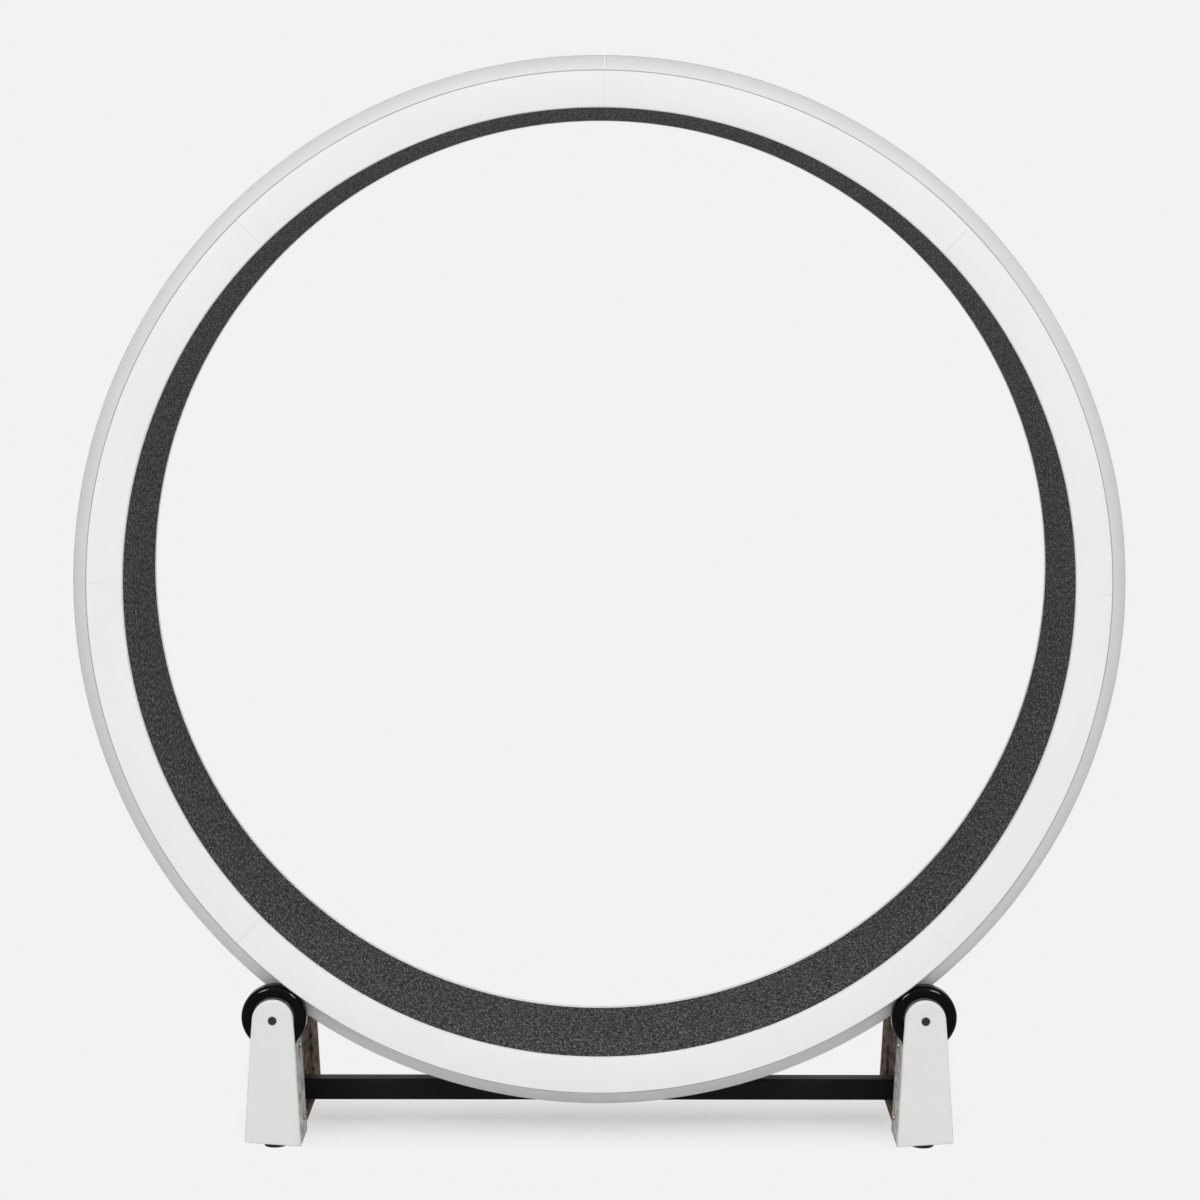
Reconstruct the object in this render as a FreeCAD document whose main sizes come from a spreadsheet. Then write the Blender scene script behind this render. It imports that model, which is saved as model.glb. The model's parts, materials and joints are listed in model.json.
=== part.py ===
import FreeCAD, Part
import math
import os

import Sketcher

# Cat exercise wheel: a ring of eight moulded segments between two guide hoops, with a running mat
# inside, carried on four rollers in two moulded legs that a square steel tube joins.
# Frame: origin on the floor under the wheel's centre, +Z up, the wheel's axis along Y, -Y the front.
# Millimetres.

document = FreeCAD.newDocument("CatExerciseWheel")

# ---------------------------------------------------------------------------------------------
# Driving dimensions
# ---------------------------------------------------------------------------------------------

DIMENSIONS = [
    # the ring's section
    ("flange_radius", 600.0, "outer radius of the ring, over its guide hoops"),
    ("track_radius", 582.0, "radius of the two tracks that the rollers run on"),
    ("running_radius", 540.5, "radius of the mat's running surface"),
    ("wheel_width", 273.0, "width of the ring over its two white faces"),
    ("ring_turn", 0.6, "how far the ring is turned at rest, in degrees"),
    ("track_width", 25.5, "width of a roller track, from the face to the guide hoop"),
    ("flange_thickness", 4.5, "thickness of a guide hoop's flange at its root"),
    ("flange_draft", 0.5, "how far each side of the flange leans in at its tip"),
    ("hoop_foot_width", 12.0, "width of the foot that a hoop is bonded to the drum with"),
    ("hoop_foot_thickness", 1.6, "thickness of that foot"),
    ("hoop_joint_gap", 0.8, "gap where a hoop's two ends meet, at the top"),
    ("shell_wall", 3.0, "wall of the segments' moulding"),
    ("lip_width", 9.5, "width of the white lip beside the mat"),
    ("seat_width", 8.0, "width of the ledge that the deck panel rests on"),
    ("track_round", 0.8, "rounding between a face and its track"),
    ("lip_round", 1.5, "rounding of the inner edges of the lip"),
    ("flange_round", 1.4, "rounding of a flange's tip"),
    ("segment_count", 8.0, "segments in the ring"),
    ("seam_gap", 0.4, "gap at the seams between segments"),
    ("end_wall", 4.0, "end wall of a segment, and half of a bolted joint"),
    ("rib_thickness", 3.5, "thickness of a segment's cross ribs"),
    ("screw_rib_thickness", 8.0, "thickness of the middle rib that takes the deck screws"),
    # deck and mat
    ("mat_thickness", 8.0, "felt and foam together"),
    ("mat_side_fit", 0.5, "gap between the mat and each lip"),
    ("deck_thickness", 4.0, "thickness of a deck panel"),
    ("layer_fit", 0.2, "gap between the mat, the deck and its seat"),
    # fasteners in the ring
    ("joint_bolt_radius", 2.5, "M5 bolts in the segment joints"),
    ("joint_head_radius", 4.5, "their heads"),
    ("joint_head_height", 3.2, "their heads"),
    ("joint_nut_flats", 8.0, "their nuts, across flats"),
    ("joint_nut_height", 4.0, "their nuts"),
    ("joint_bolt_offset", 62.0, "from the ring's middle plane to each joint bolt"),
    ("deck_screw_radius", 1.75, "shank of a deck screw"),
    ("deck_screw_length", 15.0, "length of a deck screw under its head"),
    ("deck_head_radius", 3.75, "head of a deck screw"),
    ("deck_head_height", 1.6, "head of a deck screw"),
    ("deck_screw_inner", 34.0, "from the middle plane to the inner deck screws"),
    ("deck_screw_outer", 96.0, "from the middle plane to the outer deck screws"),
    # where the ring stands
    ("centre_height", 646.0, "wheel's axis above the floor"),
    ("roller_spread", 373.5, "from the middle of the stand to each roller axle"),
    # rollers
    ("roller_radius", 37.5, "roller tyre"),
    ("roller_width", 24.0, "roller tyre"),
    ("tread_width", 13.0, "flat middle of the tyre's tread"),
    ("shoulder_slope", 1.7, "how steeply the tyre falls away beside its tread"),
    ("tyre_thickness", 13.0, "tyre from the hub to the tread"),
    ("running_gap", 0.3, "left between roller and track"),
    ("bearing_radius", 11.0, "outer radius of a 608 bearing"),
    ("bearing_fit", 0.06, "left between a bearing and its seat"),
    ("bearing_bore_radius", 4.05, "its bore, a running fit on the axle"),
    ("bearing_width", 7.0, "its width"),
    ("hub_recess", 1.5, "how far the hub's web lies under its rims"),
    ("axle_radius", 4.0, "M8 axle bolt"),
    ("axle_head_radius", 4.9, "round head of the axle bolt"),
    ("axle_head_height", 3.0, "its height"),
    ("axle_socket_flats", 4.0, "hexagon socket in the head"),
    ("axle_nut_flats", 13.0, "M8 nut, across flats"),
    ("axle_nut_height", 6.5, "M8 nut"),
    ("spacer_radius", 6.0, "spacers between the cheeks and the bearings"),
    # legs
    ("cheek_gap", 5.5, "from the ring's face to the outer cheek"),
    ("cheek_thickness", 7.0, "outer cheek of a leg"),
    ("guide_gap", 1.5, "from the guide hoop to the inner cheek"),
    ("inner_cheek", 6.0, "inner cheek of a leg"),
    ("head_radius", 23.5, "round head of a cheek, about the axle"),
    ("shoulder_drop", 20.0, "from the axle down to the shoulder of the leg"),
    ("shoulder_outer", 25.2, "from the axle's line to the leg's outer flank at the shoulder"),
    ("shoulder_inner", 24.9, "from the axle's line to the leg's inner flank at the shoulder"),
    ("base_outer", 33.4, "from the axle's line to the leg's outer flank at its foot"),
    ("base_inner", 31.6, "from the axle's line to the leg's inner flank at its foot"),
    ("base_outer_height", 9.0, "outer corner of the foot above the floor"),
    ("base_inner_height", 4.5, "inner corner of the foot above the floor"),
    ("leg_wall", 4.0, "walls of a leg"),
    ("leg_floor_height", 10.0, "underside of the leg's floor, where the feet seat"),
    ("partition", 10.0, "wall between the housings and the middle of a leg"),
    ("pocket_gap", 2.0, "left round a roller in its pocket"),
    ("cheek_round", 2.2, "rounding of a cheek's outer edge"),
    ("cover_thickness", 3.5, "cover on the leg's inner side"),
    ("cover_fit", 0.3, "gap round the cover"),
    ("web_inset", 4.0, "how far the leg's inner flank steps back behind its front end"),
    ("dish_depth", 3.0, "depth of the dish in the cover"),
    ("dish_half_length", 72.0, "half of the dish's length"),
    ("cover_screw_radius", 1.75, "shank of a cover screw"),
    ("cover_screw_length", 12.0, "length of a cover screw"),
    ("cover_head_radius", 3.5, "head of a cover screw"),
    ("cover_head_height", 1.6, "head of a cover screw"),
    ("cover_screw_low", 27.0, "lower cover screws above the floor"),
    ("cover_screw_high", 112.0, "upper cover screws above the floor"),
    # crossbar
    ("bar_size", 25.0, "square tube"),
    ("bar_wall", 2.0, "its wall"),
    ("bar_height", 25.0, "its underside above the floor"),
    ("bar_end_gap", 1.0, "from the tube's end to the leg's outer wall"),
    ("socket_depth", 22.0, "length of tube held in the leg's socket"),
    ("socket_wall", 3.0, "wall of that socket"),
    ("socket_fit", 0.4, "gap round the tube in its socket"),
    ("plug_length", 26.0, "threaded plug in each end of the tube"),
    ("plug_fit", 0.1, "gap round the plug"),
    ("bar_bolt_radius", 4.0, "M8 bolt through the leg into the plug"),
    ("bar_bolt_length", 30.0, "length of that bolt under its head"),
    ("bar_head_radius", 7.0, "its head"),
    ("bar_head_height", 4.4, "its head"),
    ("washer_radius", 10.0, "washer under the head"),
    ("washer_thickness", 1.6, "washer under the head"),
    # feet
    ("foot_radius", 13.0, "rubber foot"),
    ("foot_taper", 1.5, "how much smaller the foot is on the floor"),
    ("foot_screw_radius", 2.0, "screw that holds a foot"),
    ("foot_screw_length", 10.0, "its length under the head"),
    ("foot_head_radius", 4.0, "its head"),
    ("foot_head_height", 2.4, "its head"),
    ("foot_recess", 3.0, "depth of the hole that hides the head"),
    ("hole_fit", 0.25, "radial gap round a bolt or screw in its hole"),
]

sheet = document.addObject("Spreadsheet::Sheet", "Sizes")
for row, (alias, value, meaning) in enumerate(DIMENSIONS, start=1):
    sheet.set(f"A{row}", alias)
    sheet.set(f"B{row}", str(value))
    sheet.set(f"C{row}", meaning)
    sheet.setAlias(f"B{row}", alias)
document.recompute()

ALIASES = sorted((alias for alias, value, meaning in DIMENSIONS), key=len, reverse=True)


def bind(text):
    """Turn a plain formula over the sheet's names into an expression."""
    words = []
    word = ""
    for letter in text + " ":
        if letter.isalnum() or letter == "_":
            word += letter
            continue
        words.append(f"Sizes.{word}" if word in ALIASES else word)
        words.append(letter)
        word = ""
    return "".join(words).strip()


def value_of(text):
    """The number that a formula over the sheet's names gives now."""
    return float(sheet.evalExpression(bind(text)))


# ---------------------------------------------------------------------------------------------
# Lengths that follow from the driving dimensions
# ---------------------------------------------------------------------------------------------

HALF_WIDTH = "(wheel_width / 2)"
FLANGE_OUTER = f"({HALF_WIDTH} - track_width)"
FLANGE_INNER = f"({FLANGE_OUTER} - flange_thickness)"
ROLLER_PLANE = f"({HALF_WIDTH} - track_width / 2)"
CHEEK_INNER = f"({HALF_WIDTH} + cheek_gap)"
CHEEK_OUTER = f"({CHEEK_INNER} + cheek_thickness)"
POCKET_INNER = f"({FLANGE_INNER} - guide_gap)"
HOUSING_INNER = f"({POCKET_INNER} - inner_cheek)"
MIDDLE_HALF = f"({POCKET_INNER} - partition)"

DECK_INNER_RADIUS = "(running_radius + mat_thickness + layer_fit)"
DECK_OUTER_RADIUS = f"({DECK_INNER_RADIUS} + deck_thickness)"
SEAT_RADIUS = f"({DECK_OUTER_RADIUS} + layer_fit)"
SKIN_RADIUS = "(track_radius - shell_wall)"
BOLT_CIRCLE = f"(({SEAT_RADIUS} + {SKIN_RADIUS}) / 2)"
SEGMENT_ANGLE = "(360 / segment_count)"
PER_DEGREE = f"({BOLT_CIRCLE} * pi / 180)"

AXLE_DISTANCE = "(track_radius + running_gap + roller_radius)"
AXLE_HEIGHT = f"(centre_height - sqrt({AXLE_DISTANCE} ^ 2 - roller_spread ^ 2))"
SHOULDER_HEIGHT = f"({AXLE_HEIGHT} - shoulder_drop)"
POCKET_RADIUS = "(roller_radius + pocket_gap)"
FLOOR_TOP = "(leg_floor_height + leg_wall)"

BAR_MIDDLE = "(bar_height + bar_size / 2)"


def outer_offset(height):
    """From the axle's line to the leg's outer flank at a height."""
    lean = f"((base_outer - shoulder_outer) / ({SHOULDER_HEIGHT} - base_outer_height))"
    return f"(shoulder_outer + {lean} * ({SHOULDER_HEIGHT} - ({height})))"


def inner_offset(height):
    """From the axle's line to the leg's inner flank at a height."""
    lean = f"((base_inner - shoulder_inner) / ({SHOULDER_HEIGHT} - base_inner_height))"
    return f"(shoulder_inner + {lean} * ({SHOULDER_HEIGHT} - ({height})))"


# the leg's outer wall is upright enough to hold the crossbar's end at the bar's middle height
BAR_SEAT = f"(roller_spread + {outer_offset(BAR_MIDDLE)} - leg_wall)"
BAR_HALF_LENGTH = f"({BAR_SEAT} - bar_end_gap)"

# ---------------------------------------------------------------------------------------------
# Sketches and features
# ---------------------------------------------------------------------------------------------

PLANE_NORMALS = {"XY_Plane": 1, "XZ_Plane": -1, "YZ_Plane": 1}


def new_body(name):
    body = document.addObject("PartDesign::Body", name)
    body.Label = name
    return body


def origin_feature(body, role):
    for feature in body.Origin.OriginFeatures:
        if feature.Role == role:
            return feature
    raise ValueError(role)


def new_sketch(body, name, plane, position="0"):
    """A sketch on one of the body's planes, moved along the axis that the plane is square to."""
    sketch = body.newObject("Sketcher::SketchObject", name)
    sketch.AttachmentSupport = (origin_feature(body, plane), [""])
    sketch.MapMode = "FlatFace"
    if position != "0":
        sign = "" if PLANE_NORMALS[plane] > 0 else "-"
        sketch.setExpression("AttachmentOffset.Base.z", bind(f"{sign}({position})"))
    return sketch


def pin_point(sketch, geometry, corner, formulas):
    """Tie a point of the sketch to two formulas, measured from the sketch's origin."""
    for kind, formula in zip(("DistanceX", "DistanceY"), formulas):
        constraint = Sketcher.Constraint(kind, -1, 1, geometry, corner, value_of(formula))
        index = sketch.addConstraint(constraint)
        sketch.renameConstraint(index, f"{kind}_{geometry}_{corner}")
        sketch.setExpression(f"Constraints.{kind}_{geometry}_{corner}", bind(formula))


def polygon(sketch, corners):
    """A closed outline through corners that are given as formulas."""
    points = [FreeCAD.Vector(value_of(x), value_of(y), 0) for x, y in corners]
    first = sketch.GeometryCount
    count = len(points)
    for index in range(count):
        sketch.addGeometry(Part.LineSegment(points[index], points[(index + 1) % count]), False)
    for index in range(count):
        following = first + (index + 1) % count
        sketch.addConstraint(Sketcher.Constraint("Coincident", first + index, 2, following, 1))
    for index, corner in enumerate(corners):
        pin_point(sketch, first + index, 1, corner)


def circle(sketch, x, y, radius):
    middle = FreeCAD.Vector(value_of(x), value_of(y), 0)
    ring = Part.Circle(middle, FreeCAD.Vector(0, 0, 1), value_of(radius))
    geometry = sketch.addGeometry(ring, False)
    pin_point(sketch, geometry, 3, (x, y))
    index = sketch.addConstraint(Sketcher.Constraint("Radius", geometry, value_of(radius)))
    sketch.renameConstraint(index, f"Radius_{geometry}")
    sketch.setExpression(f"Constraints.Radius_{geometry}", bind(radius))


def rectangle(sketch, low_x, low_y, high_x, high_y):
    polygon(sketch, [(low_x, low_y), (high_x, low_y), (high_x, high_y), (low_x, high_y)])


def hexagon(sketch, x, y, flats):
    """A hexagon with its flats facing along the sketch's y axis."""
    corners = []
    for step in range(6):
        reach = f"({flats}) / sqrt(3)"
        across, along = math.cos(math.radians(60 * step)), math.sin(math.radians(60 * step))
        corners.append((f"({x}) + {reach} * {across:.9f}", f"({y}) + {reach} * {along:.9f}"))
    polygon(sketch, corners)


def feature(body, kind, name, sketch, length=None, angle=None, midplane=False, backwards=False):
    """A pad, pocket, revolution or groove of a sketch."""
    item = body.newObject(f"PartDesign::{kind}", name)
    item.Profile = sketch
    if length is not None:
        item.setExpression("Length", bind(length))
    if kind in ("Revolution", "Groove"):
        item.ReferenceAxis = (sketch, ["H_Axis"])
        item.setExpression("Angle", bind(angle or "360"))
    item.Midplane = midplane
    item.Reversed = backwards
    item.Refine = True
    sketch.Visibility = False
    document.recompute()
    return item


def polar_pattern(body, name, originals, angle, occurrences, backwards=False):
    pattern = body.newObject("PartDesign::PolarPattern", name)
    pattern.Originals = originals
    pattern.Axis = (origin_feature(body, "Y_Axis"), [""])
    pattern.setExpression("Angle", bind(angle))
    pattern.setExpression("Occurrences", bind(occurrences))
    pattern.Reversed = backwards
    body.Tip = pattern
    document.recompute()
    return pattern


def round_edges(body, name, base, radius, chosen):
    """Fillet the edges of a feature for which the test chosen(edge) holds."""
    names = [f"Edge{n}" for n, edge in enumerate(base.Shape.Edges, start=1) if chosen(edge)]
    if not names:
        raise ValueError(f"{body.Label}: no edge to round for {name}")
    fillet = body.newObject("PartDesign::Fillet", name)
    fillet.Base = (base, names)
    fillet.setExpression("Radius", bind(radius))
    document.recompute()
    return fillet


def mirrored(corners):
    """The same outline followed back on the other side of the sketch's y axis."""
    return corners + [(f"-({x})", y) for x, y in reversed(corners)]


def on_wheel(body, turn="0"):
    """Put a body that was drawn about the Y axis onto the wheel's axis, turned by an angle."""
    body.setExpression("Placement.Base.z", bind("centre_height"))
    angle = value_of(f"{turn} + ring_turn")
    body.Placement.Rotation = FreeCAD.Rotation(FreeCAD.Vector(0, 1, 0), angle)


def edge_radius(edge):
    """Distance of an edge's ends from the Y axis, or None where the two ends differ."""
    reaches = {round(math.hypot(v.Point.x, v.Point.z), 2) for v in edge.Vertexes}
    return reaches.pop() if len(reaches) == 1 else None


def edge_side(edge):
    """Distance of an edge from the middle plane, or None where it isn't in one plane."""
    sides = {round(abs(v.Point.y), 2) for v in edge.Vertexes}
    return sides.pop() if len(sides) == 1 else None


def ring_edge(*places):
    """A test for edges that run round the Y axis at the given radii and distances to the side."""
    wanted = {(round(value_of(radius), 2), round(value_of(side), 2)) for radius, side in places}

    def test(edge):
        if edge.Curve.TypeId != "Part::GeomCircle" or abs(edge.Curve.Axis.y) < 0.9:
            return False
        return (edge_radius(edge), edge_side(edge)) in wanted

    return test


# ---------------------------------------------------------------------------------------------
# The wheel
# ---------------------------------------------------------------------------------------------


def rim_segment(number):
    """One eighth of the ring, drawn with its middle straight above the axis."""
    body = new_body(f"rim_segment_{number}")
    outline = new_sketch(body, f"segment_outline_{number}", "YZ_Plane")
    polygon(outline, mirrored([
        (HALF_WIDTH, "track_radius"),
        (HALF_WIDTH, "running_radius"),
        (f"{HALF_WIDTH} - lip_width", "running_radius"),
        (f"{HALF_WIDTH} - lip_width", SEAT_RADIUS),
    ]))
    gap_angle = "seam_gap / track_radius * 180 / pi"
    block = feature(body, "Revolution", f"segment_{number}", outline,
                    angle=f"{SEGMENT_ANGLE} - {gap_angle}", midplane=True)

    rounded = round_edges(body, f"track_edge_{number}", block, "track_round",
                          ring_edge(("track_radius", HALF_WIDTH)))
    round_edges(body, f"lip_edge_{number}", rounded, "lip_round",
                ring_edge(("running_radius", HALF_WIDTH),
                          ("running_radius", f"{HALF_WIDTH} - lip_width")))

    channel = new_sketch(body, f"channel_outline_{number}", "YZ_Plane")
    opening = f"{HALF_WIDTH} - lip_width - seat_width"
    inside = f"{HALF_WIDTH} - shell_wall"
    polygon(channel, mirrored([
        (inside, SKIN_RADIUS),
        (inside, f"{SEAT_RADIUS} + shell_wall"),
        (opening, f"{SEAT_RADIUS} + shell_wall"),
        (opening, f"{SEAT_RADIUS} - shell_wall"),
    ]))
    feature(body, "Groove", f"channel_{number}", channel,
            angle=f"{SEGMENT_ANGLE} - 2 * end_wall / {PER_DEGREE}", midplane=True)

    middle = new_sketch(body, f"screw_rib_outline_{number}", "YZ_Plane")
    rib_half = f"{HALF_WIDTH} - shell_wall / 2"
    rectangle(middle, f"-({opening})", SEAT_RADIUS, opening, f"track_radius - shell_wall / 2")
    feature(body, "Pad", f"screw_rib_{number}", middle, length="screw_rib_thickness", midplane=True)

    rib_outline = new_sketch(body, f"rib_outline_{number}", "YZ_Plane")
    rectangle(rib_outline, f"-({rib_half})", f"{SEAT_RADIUS} + shell_wall / 2",
              rib_half, f"track_radius - shell_wall / 2")
    rib = feature(body, "Pad", f"rib_{number}", rib_outline, length="rib_thickness", midplane=True)
    spacing = f"{SEGMENT_ANGLE} / 4"
    polar_pattern(body, f"ribs_ahead_{number}", [rib], spacing, "2")
    polar_pattern(body, f"ribs_behind_{number}", [rib], spacing, "2", backwards=True)

    bolt_holes = new_sketch(body, f"bolt_hole_outline_{number}", "YZ_Plane")
    for side in ("", "-"):
        circle(bolt_holes, f"{side}joint_bolt_offset", BOLT_CIRCLE, "joint_bolt_radius + hole_fit")
    feature(body, "Groove", f"bolt_holes_{number}", bolt_holes)

    screw_holes = new_sketch(body, f"screw_hole_outline_{number}", "XY_Plane", SEAT_RADIUS)
    for place in ("deck_screw_inner", "deck_screw_outer"):
        for side in ("", "-"):
            circle(screw_holes, "0", f"{side}{place}", "deck_screw_radius + hole_fit")
    feature(body, "Pocket", f"screw_holes_{number}", screw_holes, length="deck_screw_length",
            backwards=True)
    on_wheel(body, f"{SEGMENT_ANGLE} * ({number} - 0.5)")
    return body


def guide_hoop(place, sense):
    """Rolled angle strip bonded round the drum: its flange keeps the rollers on their track."""
    body = new_body(f"guide_hoop_{place}")
    outline = new_sketch(body, f"hoop_outline_{place}", "YZ_Plane")
    seat = "track_radius + layer_fit"
    foot_top = f"{seat} + hoop_foot_thickness"
    corners = [
        (FLANGE_OUTER, seat),
        (f"{FLANGE_OUTER} - flange_draft", "flange_radius"),
        (f"{FLANGE_INNER} + flange_draft", "flange_radius"),
        (FLANGE_INNER, foot_top),
        (f"{FLANGE_INNER} - hoop_foot_width", foot_top),
        (f"{FLANGE_INNER} - hoop_foot_width", seat),
    ]
    polygon(outline, [(f"{sense} * ({side})", reach) for side, reach in corners])
    hoop = feature(body, "Revolution", f"hoop_{place}", outline)
    round_edges(body, f"hoop_edge_{place}", hoop, "flange_round",
                ring_edge(("flange_radius", f"{FLANGE_OUTER} - flange_draft"),
                          ("flange_radius", f"{FLANGE_INNER} + flange_draft")))
    width = f"({FLANGE_OUTER} - {FLANGE_INNER} + hoop_foot_width)"
    start = f"-{FLANGE_OUTER}" if sense < 0 else f"({FLANGE_OUTER} - {width})"
    joint = new_sketch(body, f"hoop_joint_outline_{place}", "XZ_Plane", f"{start} - layer_fit")
    rectangle(joint, "-hoop_joint_gap / 2", SKIN_RADIUS, "hoop_joint_gap / 2",
              "flange_radius + shell_wall")
    feature(body, "Pocket", f"hoop_joint_{place}", joint, length=f"{width} + 2 * layer_fit")
    on_wheel(body)
    return body


def deck_panel(number):
    """The curved panel that closes a segment under the mat."""
    body = new_body(f"deck_panel_{number}")
    outline = new_sketch(body, f"panel_outline_{number}", "YZ_Plane")
    half = f"{HALF_WIDTH} - lip_width - mat_side_fit"
    rectangle(outline, f"-({half})", DECK_INNER_RADIUS, half, DECK_OUTER_RADIUS)
    gap_angle = "seam_gap / running_radius * 180 / pi"
    feature(body, "Revolution", f"panel_{number}", outline,
            angle=f"{SEGMENT_ANGLE} - {gap_angle}", midplane=True)
    for name, radius, depth in (
        ("head", "deck_head_radius", "deck_head_height + layer_fit"),
        ("shank", "deck_screw_radius", "2 * deck_thickness"),
    ):
        holes = new_sketch(body, f"panel_{name}_outline_{number}", "XY_Plane",
                           f"{DECK_INNER_RADIUS} - layer_fit")
        for place in ("deck_screw_inner", "deck_screw_outer"):
            for side in ("", "-"):
                circle(holes, "0", f"{side}{place}", f"{radius} + hole_fit")
        feature(body, "Pocket", f"panel_{name}_holes_{number}", holes,
                length=f"{depth} + layer_fit", backwards=True)
    on_wheel(body, f"{SEGMENT_ANGLE} * ({number} - 0.5)")
    return body


def deck_screws():
    """Four screws in the middle rib of each segment."""
    body = new_body("deck_screws")
    level = f"{DECK_INNER_RADIUS} + layer_fit"
    pads = []
    for name, radius, start, length in (
        ("heads", "deck_head_radius", level, "deck_head_height"),
        ("shanks", "deck_screw_radius", f"{level} + deck_head_height / 2",
         "deck_screw_length - deck_head_height"),
    ):
        outline = new_sketch(body, f"deck_screw_{name}_outline", "XY_Plane", start)
        for place in ("deck_screw_inner", "deck_screw_outer"):
            for side in ("", "-"):
                circle(outline, "0", f"{side}{place}", radius)
        pads.append(feature(body, "Pad", f"deck_screw_{name}", outline, length=length))
    polar_pattern(body, "deck_screws_round", pads, "360", "segment_count")
    on_wheel(body, f"{SEGMENT_ANGLE} / 2")
    return body


def joint_bolts():
    """Two bolts through the end walls at each seam."""
    body = new_body("joint_bolts")
    reach = "end_wall + seam_gap / 2"
    pads = []
    for name, radius, start, length in (
        ("heads", "joint_head_radius", f"-({reach}) - joint_head_height", "joint_head_height"),
        ("shanks", "joint_bolt_radius", f"-({reach}) - joint_head_height / 2",
         f"2 * ({reach}) + joint_head_height / 2 + joint_nut_height + joint_bolt_radius / 2"),
    ):
        outline = new_sketch(body, f"joint_bolt_{name}_outline", "YZ_Plane", start)
        for side in ("", "-"):
            circle(outline, f"{side}joint_bolt_offset", BOLT_CIRCLE, radius)
        pads.append(feature(body, "Pad", f"joint_bolt_{name}", outline, length=length))
    polar_pattern(body, "joint_bolts_round", pads, "360", "segment_count")
    on_wheel(body)
    return body


def joint_nuts():
    body = new_body("joint_nuts")
    outline = new_sketch(body, "joint_nut_outline", "YZ_Plane", "end_wall + seam_gap / 2")
    for side in ("", "-"):
        hexagon(outline, f"{side}joint_bolt_offset", BOLT_CIRCLE, "joint_nut_flats")
        circle(outline, f"{side}joint_bolt_offset", BOLT_CIRCLE, "joint_bolt_radius + hole_fit / 5")
    nuts = feature(body, "Pad", "joint_nut_pair", outline, length="joint_nut_height")
    polar_pattern(body, "joint_nuts_round", [nuts], "360", "segment_count")
    on_wheel(body)
    return body


def running_mat():
    """The felt-faced foam strip glued round the inside of the wheel."""
    body = new_body("running_mat")
    outline = new_sketch(body, "mat_outline", "YZ_Plane")
    half = f"{HALF_WIDTH} - lip_width - mat_side_fit"
    rectangle(outline, f"-({half})", "running_radius", half, "running_radius + mat_thickness")
    feature(body, "Revolution", "mat", outline)
    on_wheel(body)
    return body


# ---------------------------------------------------------------------------------------------
# The rollers
# ---------------------------------------------------------------------------------------------

HUB_RADIUS = "(roller_radius - tyre_thickness)"


def at_axle(body, side, end):
    """Move a body that was drawn about the Y axis to a roller's place."""
    body.setExpression("Placement.Base.x", bind(f"{side} * roller_spread"))
    body.setExpression("Placement.Base.y", bind(f"{end} * {ROLLER_PLANE}"))
    body.setExpression("Placement.Base.z", bind(AXLE_HEIGHT))


def roller_tyre(place, side, end):
    """Tyre with a flat tread and shoulders that curve in to the hub."""
    body = new_body(f"roller_tyre_{place}")
    outline = new_sketch(body, f"tyre_outline_{place}", "YZ_Plane")
    half = "roller_width / 2"
    polygon(outline, mirrored([
        ("tread_width / 2", "roller_radius"),
        (half, f"roller_radius - ({half} - tread_width / 2) * shoulder_slope"),
        (half, HUB_RADIUS),
    ]))
    ring = feature(body, "Revolution", f"tyre_{place}", outline)
    shoulder = ring_edge(("roller_radius", "tread_width / 2"),
                         (f"roller_radius - ({half} - tread_width / 2) * shoulder_slope", half))
    round_edges(body, f"tyre_shoulder_{place}", ring, "tread_width / 4", shoulder)
    at_axle(body, side, end)
    return body


def roller_hub(place, side, end):
    """Hub with a bearing seat at each end and a recessed web."""
    body = new_body(f"roller_hub_{place}")
    outline = new_sketch(body, f"hub_outline_{place}", "YZ_Plane")
    half = "roller_width / 2"
    rim = f"{HUB_RADIUS} - 2 * hub_recess"
    boss = "bearing_radius + 2 * hub_recess"
    polygon(outline, mirrored([
        (half, f"{HUB_RADIUS}"),
        (half, rim),
        (f"{half} - hub_recess", f"{rim} - hub_recess"),
        (f"{half} - hub_recess", f"{boss} + hub_recess"),
        (half, boss),
        (half, "bearing_radius + bearing_fit"),
        (f"{half} - bearing_width", "bearing_radius + bearing_fit"),
        (f"{half} - bearing_width", "bearing_radius - hub_recess"),
    ]))
    feature(body, "Revolution", f"hub_{place}", outline)
    at_axle(body, side, end)
    return body


def roller_bearings(place, side, end):
    """The pair of ball bearings, each one closed ring, with its shield a step lower."""
    body = new_body(f"roller_bearings_{place}")
    half = "roller_width / 2"
    shield = "0.4"
    outer_race = "bearing_radius - 1.6"
    inner_race = "bearing_bore_radius + 2"
    for name, mirror in (("one", ""), ("two", "-")):
        outline = new_sketch(body, f"bearing_outline_{name}_{place}", "YZ_Plane")
        corners = [
            (half, "bearing_radius"),
            (half, outer_race),
            (f"{half} - {shield}", outer_race),
            (f"{half} - {shield}", inner_race),
            (half, inner_race),
            (half, "bearing_bore_radius"),
            (f"{half} - bearing_width", "bearing_bore_radius"),
            (f"{half} - bearing_width", "bearing_radius"),
        ]
        polygon(outline, [(f"{mirror}({x})", y) for x, y in corners])
        feature(body, "Revolution", f"bearing_{name}_{place}", outline)
    at_axle(body, side, end)
    return body


# ---------------------------------------------------------------------------------------------
# The stand
# ---------------------------------------------------------------------------------------------

SIDES = (("left", -1), ("right", 1))
ENDS = (("front", -1), ("rear", 1))


def leg_x(side, outward):
    """A formula for x from a distance outward of the roller axle, towards the leg's outer side."""
    return f"{side} * (roller_spread + ({outward}))"


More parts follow.
